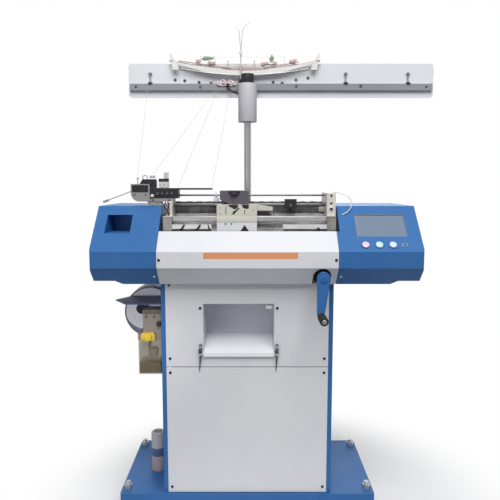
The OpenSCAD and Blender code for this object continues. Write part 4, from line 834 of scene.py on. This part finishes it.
# changer: foot, peg, pad, knob and rings, then its screws and studs
build("changerFoot", steelBare, {
    "foot": (slab, [(-322, 1074), (-277, 1074), (-270, 1060.2), (-312, 1060.2)], 34, frontMatrix(95), 1.2),
})
peg = [(0, 9), (3, 9), (4, 8), (4, 2), (5.5, 1), (5.5, 0), (0, 0)]
knob = bored(2.2, [(12, 0), (12.6, 1.4), (10.5, 5.5), (6, 8.2), (2.2, 8.8)])
build("changerPegs", whiteCoat, {
    "peg": (lathe, peg, (-303, 56, 1092), 20),
    "armRing": (ringLathe, (-100, 78, 1094), (1, 0, 0), 6.4, 2.6),
    "pad": (slab, roundRect(-109, -91, 1072, 1088.6, 3), 10, frontMatrix(83), 1.2),
    "knob": (lathe, knob, (-305, 78, 1142.2), 32, toTop),
    "topRing": (ringLathe, (-328, 74, 1151), (0.2, -1, 0), 7.4, 2.4),
})
stud = [(0, 7), (4.4, 7), (5, 6.2), (5, 0), (0, 0)]
build("changerScrews", darkSteel, {
    "box": (screwRow, [(-359, 52, 1096), (-323, 52, 1096)], 3.0, 1.6),
    "arm": (screwRow, [(-300, 56, 1079), (-250, 56, 1079)], 3.0, 1.6),
    "studs": (latheRow, stud, [(-285 + 15 * k, 56, 1100) for k in range(4)], 20),
})
print("changer dressed")

# soft bristles that stand on the brush strip, in two rows
bristleSet = {
    "x": (-233, 248), "pitch": 2.2, "rows": ((94.4, 98.2), (98.8, 102.6)), "low": 1059, "high": 1073,
    "foot": 1, "tip": 0.8,
}


def bristle(bm, x, lean, y0, y1, high):
    rings = []
    for half, shift, z in ((bristleSet["foot"], 0, bristleSet["low"]), (bristleSet["tip"], lean, high)):
        corners = ((-half, y0), (half, y0), (half, y1), (-half, y1))
        rings.append([bm.verts.new((x + a + shift, b, z)) for a, b in corners])
    skin(bm, rings)


def bristleRow(bm, row, y0, y1):
    x0, x1 = bristleSet["x"]
    for k in range(int((x1 - x0) / bristleSet["pitch"])):
        x = x0 + (k + 0.3 + 0.5 * row) * bristleSet["pitch"]
        high = bristleSet["high"] + 0.9 * math.sin(k * 2.3 + row) + 0.7 * math.sin(k * 0.41)
        bristle(bm, x, 0.3 * math.sin(k * 1.7), y0, y1, high)


build("brushBristles", bristleDark, {
    row: (bristleRow, row, *depth) for row, depth in enumerate(bristleSet["rows"])
})
print("brush bristled")

# carriage: black patches of painted shadow on the cams' face, black strips that paint the shade of two
# grooves, screws and lip of the cams, screws of the bridge, and the carrier's eye
carriageSet = {
    "bar": [(-49, 1035.5), (-42, 1035.5), (-22, 1055.2), (-29, 1055.2)],
    # outlines of the two black patches that paint shadow on the cams' face
    "left": [(-60, 1062), (-53, 1066), (-30, 1066), (-27, 1060), (-37, 1051), (-46, 1055)],
    "right": [(-18, 1066), (5, 1066), (5, 1055), (-2, 1052), (-14, 1057)],
    "screws": [(-84, 9, 1058), (-84, 9, 1040), (20, 9, 1050)],
}
# planes of the black patches of painted shadow, and of the black strips that paint the shade of two grooves
shadowPatchPlane, grooveShadePlane = frontMatrix(9.4), frontMatrix(9.5)
build("camFittings", screwBlack, {
    "bar": (slab, carriageSet["bar"], 3.4, frontMatrix(15), 0.2),
    "left": (slab, carriageSet["left"], 1.0, shadowPatchPlane, 0.2),
    "right": (slab, carriageSet["right"], 1.0, shadowPatchPlane, 0.2),
    "longGrooveShade": (slab, roundRect(-67.5, -65.3, 1036, 1061, 1.0), 1.0, grooveShadePlane, 0.1),
    "shortGrooveShade": (slab, roundRect(-8.9, -6.7, 1036, 1050, 1.0), 1.0, grooveShadePlane, 0.1),
    "stud": (lathe, [(0, 8), (2, 8), (3, 7), (3, 0), (0, 0)], (-40, 13, 1044), 16),
    "skirt": (screwRow, [(-67, 6, 1006), (-49, 6, 1006)], 2.6, 1.4),
}, "carriage")
build("camScrews", brightSteel, {"cams": (screwRow, carriageSet["screws"], 2.8, 1.6)}, "carriage")
build("camLip", creamCoat, {
    "lip": (slab, roundRect(-95, 31, 1011.5, 1029.8, 1.2), 1.2, frontMatrix(6), 0.5),
}, "carriage")
build("bridgeScrews", darkSteel, {
    "screws": (screwRow, [(-74, 19, 1074), (-6, 19, 1074)], 3.4, 2.0),
    "cap": (lathe, [(0, 6), (4, 6), (4.6, 5.4), (4.6, 0), (0, 0)], (-40, 11, 1101), 24),
}, "carriage")
eye = bored(1.6, [(3, 0), (3.6, 0.8), (3.6, 1.6), (3, 2.4)])
build("carrierEye", steelBare, {"eye": (lathe, eye, (139, 50, 1062), 24)}, "carrier")
print("carriage dressed")

# rack: bolts, pin bases and tops, eyelets and their arm
rackSet = {
    "plateY": 376.5, "barY": 364.5, "pins": (-356.4, 359.3, 587.8),
    "plate": [
        (-266, 1510), (-231, 1507), (-178, 1501), (-134, 1499), (94, 1502), (127, 1499), (178, 1510),
        (222, 1517),
    ],
    "bar": [(-173, 1482), (178, 1486), (414, 1486)],
    "bolt": [(0, 2.8), (2.6, 2.8), (3.2, 2.2), (3.4, 0.9), (5.4, 0.9), (5.8, 0.5), (5.8, 0), (0, 0)],
    "eyelets": [(-104, 1496, 0.3), (-90, 1502, -0.5), (-76, 1494, 0.4), (-62, 1500, -0.2), (-48, 1496, 0.5)],
    "arm": [(-72, 359, 1487), (-69, 357, 1478), (-61, 353, 1468), (-48, 347, 1460), (-33, 341, 1456)],
}
build("rackBolts", darkSteel, {
    "plate": (latheRow, rackSet["bolt"], [(x, rackSet["plateY"], z) for x, z in rackSet["plate"]], 18),
    "bar": (latheRow, rackSet["bolt"], [(x, rackSet["barY"], z) for x, z in rackSet["bar"]], 18),
})
base = [(0, 0), (9, 0), (9, 2), (6.5, 4), (3, 5.5), (0, 6)]
build("pinBases", screwBlack, {
    "bases": (latheRow, base, [(x, 366.5, 1495.1) for x in rackSet["pins"]], 28, toTop),
})
build("pinTops", brightSteel, {
    x: (sweep, [(x - 8, 370.5, 1532), (x + 8, 370.5, 1532)], 1.4, 8) for x in rackSet["pins"]
})
build("pinkEyelets", pinkCeramic, {
    **{x: (ringLathe, (x, 361, z), (side, -1, 0.3), 6.5, 2.3) for x, z, side in rackSet["eyelets"]},
    "rail": (sweep, [(-110, 361, 1490), (-90, 360, 1488), (-66, 360, 1487), (-42, 361, 1490)], 1.8, 8),
})
build("eyeletArm", blackMould, {
    "arm": (sweep, rackSet["arm"], 3.4, 12),
    "nut": (lathe, [(0, 0), (6, 0), (6, 9), (4, 11), (0, 11)], (-72, 359, 1483), 18, toTop),
})
print("rack dressed")

# bow: band, thin rods with their rolls, pegs with a wire box, and tags
bowSet = {
    "x": -8, "reach": 84, "low": 1540.4, "high": 1554.4, "rise": 4.5, "fall": 3.0, "rodY": 351.2, "boxY": 357,
    "roll": [(0, -9), (5, -9), (6.5, -7), (6.5, 7), (5, 9), (0, 9)],
    "rolls": [(-126, 351, 1564), (68, 351, 1563), (160, 351, 1570)],
    "peg": [(0, 30), (2.4, 30), (3.4, 28), (3.4, 25), (1.8, 24), (1.8, 1), (5, 1), (5, 0), (0, 0)],
    "leaf": [
        (-168, 1580), (-158, 1587), (-140, 1588), (-122, 1585), (-120, 1580), (-134, 1577), (-152, 1574),
        (-162, 1575),
    ],
    "kite": [(78, 1581), (88, 1597), (97, 1584), (92, 1572), (84, 1567)],
}
shares = [i / 6 - 1 for i in range(13)]
x, reach = bowSet["x"], bowSet["reach"]
band = [(x + reach * s, bowSet["low"] + bowSet["rise"] * s * s) for s in shares]
band += [(x + reach * s, bowSet["high"] - bowSet["fall"] * s * s) for s in reversed(shares)]
build("bowRods", brownWood, {
    "band": (slab, band, 1.2, frontMatrix(353.3), 0.4),
    "leftRod": (sweep, [(-250, bowSet["rodY"], 1573), (-62, bowSet["rodY"], 1548)], 2.0),
    "rightRod": (sweep, [(58, bowSet["rodY"], 1549), (186, bowSet["rodY"], 1568)], 2.0),
    "rolls": (latheRow, bowSet["roll"], bowSet["rolls"], 20, (1, 0, 0.1)),
})
box = [(x, bowSet["boxY"], z) for x, z in ((-170, 1568), (-170, 1589), (-117, 1589), (-117, 1560))]
build("bowPegs", steelRod, {
    "pegs": (latheRow, bowSet["peg"], [(-71, 360.3, 1549), (25, 360.3, 1549)], 18, toTop),
    "box": (sweep, box, 1.1, 8),
})
build("greenTags", leafGreen, {
    "leaf": (slab, bowSet["leaf"], 1.2, frontMatrix(355.5), 0.3),
    "kite": (slab, bowSet["kite"], 1.2, frontMatrix(358.5), 0.3),
})
print("bow dressed")

# left side: hub, rim in a violet grey that paints the shade on it and on its lower edge, and ridge of the
# blower
blowerSet = {
    "middle": (-343, 198, 682), "rim": 87.4, "flat": 66, "ridge": 60, "screws": 76, "hubAt": (-370, 198, 697),
    "hub": [(0, 18.2), (5, 18.2), (6, 19), (15, 19), (18.6, 18), (19.8, 16), (19.8, 0.1), (0, 0.1)],
}
middle = blowerSet["middle"]
build("blowerHub", blackRubber, {"hub": (lathe, blowerSet["hub"], blowerSet["hubAt"], 40)})
# the painted shade of the lower edge lies between the rim's arc and a flatter one
shadedLowEdge = [(p.x, p.z) for p in arc(middle, blowerSet["rim"], 184, 310, 21)]
flat = blowerSet["flat"] / blowerSet["rim"]
shadedLowEdge += [(x, middle[2] + (z - middle[2]) * flat) for x, z in reversed(shadedLowEdge)]
build("blowerRim", rimShadeViolet, {
    "rim": (sweep, arc(middle, blowerSet["rim"], 50, 310, 60), 2.6),
    "shadedLowEdge": (slab, shadedLowEdge, 1.0, frontMatrix(middle[1]), 0.3),
})
build("blowerRidge", drumCoat, {
    "ridge": (sweep, arc(middle, blowerSet["ridge"], 0, 360, 64), 1.4, 8),
    "screws": (screwRow, arc(middle, blowerSet["screws"], 60, 180, 2), 3.4, 1.8),
})

# lubricator: lid, yellow cap and knob of the pump, oil and tube in the tank
pumpSet = {
    "turn": [(0, 10), (9, 10), (12.5, 8.5), (13.5, 5), (13.5, 0), (0, 0)],
    "knob": [(0, 10), (6, 10), (8, 8.5), (8.6, 6), (8.6, 1.5), (6, 0), (0, 0)],
    "filter": [(0, 0), (13, 0), (14, 1.5), (14, 24), (12, 26), (0, 26)],
    "tube": [(-322, 60, 626), (-322, 60, 580), (-321, 61, 556), (-320, 62, 553)],
}
lidPlane, oilPlane = Matrix.Translation((0, 0, 712)), Matrix.Translation((0, 0, 515.8))
build("pumpLid", lidBrown, {
    "lid": (slab, roundRect(-337.8, -276.6, 29.2, 90.6, 6), 14, lidPlane, 1.6),
    "screws": (screwRow, [(-301, 30, 704), (-326, 30, 704)], 4.4, 2.6),
})
build("pumpCap", capYellow, {
    "cap": (slab, roundRect(-342.8, -297.2, 626.6, 653.6, 9), 12.4, frontMatrix(29.8), 1.8),
    "turn": (lathe, pumpSet["turn"], (-320, 18, 640), 12),
})
build("pumpKnob", blackMould, {"knob": (lathe, pumpSet["knob"], (-285, 30, 682), 10)})
build("tankOil", oilDark, {"oil": (slab, roundRect(-352.2, -277.8, 32.8, 107.2, 5.4), 34, oilPlane, 0.8)})
build("tankTube", whiteCoat, {
    "tube": (sweep, pumpSet["tube"], 5, 14),
    "filter": (lathe, pumpSet["filter"], (-308, 66, 566), 28, toTop),
})
print("left side dressed")

# spool of three winds on one core, from the top
spoolSet = {"at": (-318, 164, 115.1), "r": 23.6, "bore": 14.4}
r, b = spoolSet["r"], spoolSet["bore"]
topWind = [
    (b, 102.8), (b, 141), (b + 1.5, 142.8), (r - 4, 142.8), (r - 1, 140.5), (r, 136), (r, 86.2), (0, 86.2),
    (0, 102.8), (b, 102.8),
]
midWind = [(0, 56), (r - 0.6, 56), (r, 57.5), (r, 84.5), (r - 0.6, 86), (0, 86)]
lowWind = [(0, 0), (r - 3, 0), (r - 0.5, 1.5), (r, 4), (r, 54.5), (r - 0.6, 55.8), (0, 55.8)]
for name, wind, finish, stands in (
    ("spoolTop", topWind, threadWound, ("thread_spool",)), ("spoolBand", midWind, threadBlue, ()),
    ("spoolLow", lowWind, threadPink, ()),
):
    build(name, finish, {"wind": (lathe, wind, spoolSet["at"], 44, toTop)}, stands=stands)
print("spool wound")

# back of the column: access panel with louvres, and the mains inlet
backSet = {
    "y": 350, "t": 1.6, "first": 520, "pitch": 18, "louvres": 9, "w": 150, "side": 105, "sunk": 1.5,
    "ramp": [(0, 9), (4.4, 1.6), (4.8, 0), (0, 0)],
}


def louvreRow(bm, side):
    for k in range(backSet["louvres"]):
        y, z = backSet["y"] + backSet["sunk"], backSet["first"] + k * backSet["pitch"]
        ramp = [(y + a, z + b) for a, b in backSet["ramp"]]
        slab(bm, ramp, backSet["w"], sideMatrix(side * backSet["side"] - backSet["w"] / 2), 0.6)


face = backSet["y"] + backSet["t"]
backPlaces = [(x, face, z) for x in (-214, 214) for z in (164, 460, 756)]
build("backPanel", whiteCoat, {
    "panel": (slab, roundRect(-228, 228, 150, 770, 8), -backSet["t"], frontMatrix(backSet["y"]), 0.5),
    "left": (louvreRow, -1), "right": (louvreRow, 1),
})
build("backFittings", blackMould, {
    "screws": (screwRow, backPlaces, *screwSize["large"], toBack),
    "inlet": (slab, roundRect(130, 178, 210, 244, 4), -12, frontMatrix(face), 1.0),
    "socket": (slab, roundRect(139, 169, 217, 237, 3), -14, frontMatrix(face), 0.4),
})
print("back dressed")

# yarns and the cable loop, on the same routes as their solids
cordRoutes = {
    "yarn_one": [(-366, 363, 1472), (-353, 78, 1153)],
    "yarn_two": [(-119, 363, 1472), (-305, 78, 1158)],
    "yarn_three": [(-109, 363, 1472), (-224, 78, 1118)],
    "yarn_four": [(-63, 363, 1472), (-114, 78, 1118)],
    "cable_loop": [
        (268, 60, 1104), (282, 58, 1104), (297, 54, 1101), (312, 50, 1096), (324, 46, 1088),
        (331, 42, 1076), (331, 38, 1062), (324, 35, 1049), (313, 33, 1039), (300, 32, 1033),
    ],
}
# diameters in metres, and the number of stretches that a straight yarn is cut into
cordLook = {"yarn": 0.0012, "cable": 0.003, "cuts": 16}


def cordPiece(name, route, diameter, material):
    curve = bpy.data.curves.new(name, "CURVE")
    curve.dimensions = "3D"
    curve.bevel_depth = diameter / 2
    curve.bevel_resolution = 3
    curve.use_fill_caps = True
    points = [at(*p) for p in route]
    if len(points) == 2:
        cuts = cordLook["cuts"]
        points = [points[0].lerp(points[1], i / cuts) for i in range(cuts + 1)]
    spline = curve.splines.new("POLY")
    spline.points.add(len(points) - 1)
    for p, q in zip(spline.points, points):
        p.co = (*q, 1)
    curve.materials.append(material)
    obj = stand(name + ".line", curve)
    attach(obj, "machine")
    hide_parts(name)


for name, route in cordRoutes.items():
    if name == "cable_loop":
        cordPiece(name, route, cordLook["cable"], cableSkin)
    else:
        cordPiece(name, route, cordLook["yarn"], yarnSpun)
print("cords laid")

# floor, light and world, in metres and watts
stageLook = {
    "floor": 3.0, "floorInk": (0.97, 0.97, 0.975, 1), "floorRough": 0.7, "fadeFrom": 0.42, "fadeTo": 1.0,
    "skyInk": (0.94, 0.97, 1.0, 1), "sky": 0.18,
}
lampSet = {
    "keyLamp": {"place": (0.1, -2.1, 3.6), "aim": (0, 0, 0.8), "size": (2.6, 2.0), "power": 116},
    "topLamp": {"place": (0.2, -0.3, 3.6), "aim": (0, 0, 0.9), "size": (2.4, 2.0), "power": 8},
    "frontLamp": {"place": (-1.5, -3.0, 0.8), "aim": (-0.1, 0, 0.8), "size": (2.0, 1.6), "power": 8},
    "backLamp": {"place": (0.4, 2.9, 2.6), "aim": (0, 0, 0.9), "size": (2.2, 1.6), "power": 24},
    "sideLamp": {
        "place": (-1.2, -1.3, 0.72), "aim": (-0.46, 0.1, 0.6), "size": (0.3, 0.3), "power": 0.11,
        "spread": 18,
    },
}


def mixShader(tree, factor, first, second):
    node = add(tree, "MixShader")
    for socket, value in zip(node.inputs, (factor, first, second)):
        tree.links.new(value, socket)
    return node.outputs[0]


def makeFloor():
    bm = bmesh.new()
    bmesh.ops.create_circle(bm, cap_ends=True, segments=96, radius=stageLook["floor"])
    mesh = bpy.data.meshes.new("floor")
    bm.to_mesh(mesh)
    bm.free()
    mat, tree, bsdf = startMaterial("paleFloor")
    bsdf.inputs["Base Color"].default_value = stageLook["floorInk"]
    bsdf.inputs["Roughness"].default_value = stageLook["floorRough"]
    # the floor thins out into the pale background
    away = add(tree, "VectorMath", "LENGTH")
    tree.links.new(objectPlace(tree), away.inputs[0])
    fade = rangeNode(tree, away.outputs["Value"], stageLook["fadeFrom"], stageLook["fadeTo"], smooth=True)
    white = add(tree, "Emission")
    clear = add(tree, "BsdfTransparent")
    path = add(tree, "LightPath")
    far = mixShader(tree, path.outputs["Is Camera Ray"], clear.outputs[0], white.outputs[0])
    end = tree.nodes["Material Output"]
    tree.links.new(mixShader(tree, fade, bsdf.outputs[0], far), end.inputs["Surface"])
    mesh.materials.append(mat)
    floor = stand("floor", mesh)


def areaLamp(name, place, aim, size, power, spread=180):
    data = bpy.data.lights.new(name, "AREA")
    data.shape = "RECTANGLE"
    data.size, data.size_y = size
    data.energy = power
    data.spread = math.radians(spread)
    lamp = stand(name, data)
    lamp.location = place
    lamp.rotation_euler = (Vector(aim) - Vector(place)).to_track_quat("-Z", "Y").to_euler()


def makeWorld():
    world = bpy.data.worlds.new("paleRoom")
    scene.world = world
    world.use_nodes = True
    tree = world.node_tree
    tree.nodes.clear()
    out = add(tree, "OutputWorld")
    seen = add(tree, "Background")
    seen.inputs["Color"].default_value = (1, 1, 1, 1)
    lit = add(tree, "Background")
    lit.inputs["Color"].default_value = stageLook["skyInk"]
    lit.inputs["Strength"].default_value = stageLook["sky"]
    path = add(tree, "LightPath")
    rays = [path.outputs[label] for label in ("Is Camera Ray", "Is Glossy Ray", "Is Transmission Ray")]
    shown = mathNode(tree, "ADD", mathNode(tree, "ADD", rays[0], rays[1]), rays[2], True)
    mix = mixShader(tree, shown, lit.outputs[0], seen.outputs[0])
    tree.links.new(mix, out.inputs["Surface"])


makeFloor()
for name, values in lampSet.items():
    areaLamp(name, **values)
makeWorld()
print("stage lit")
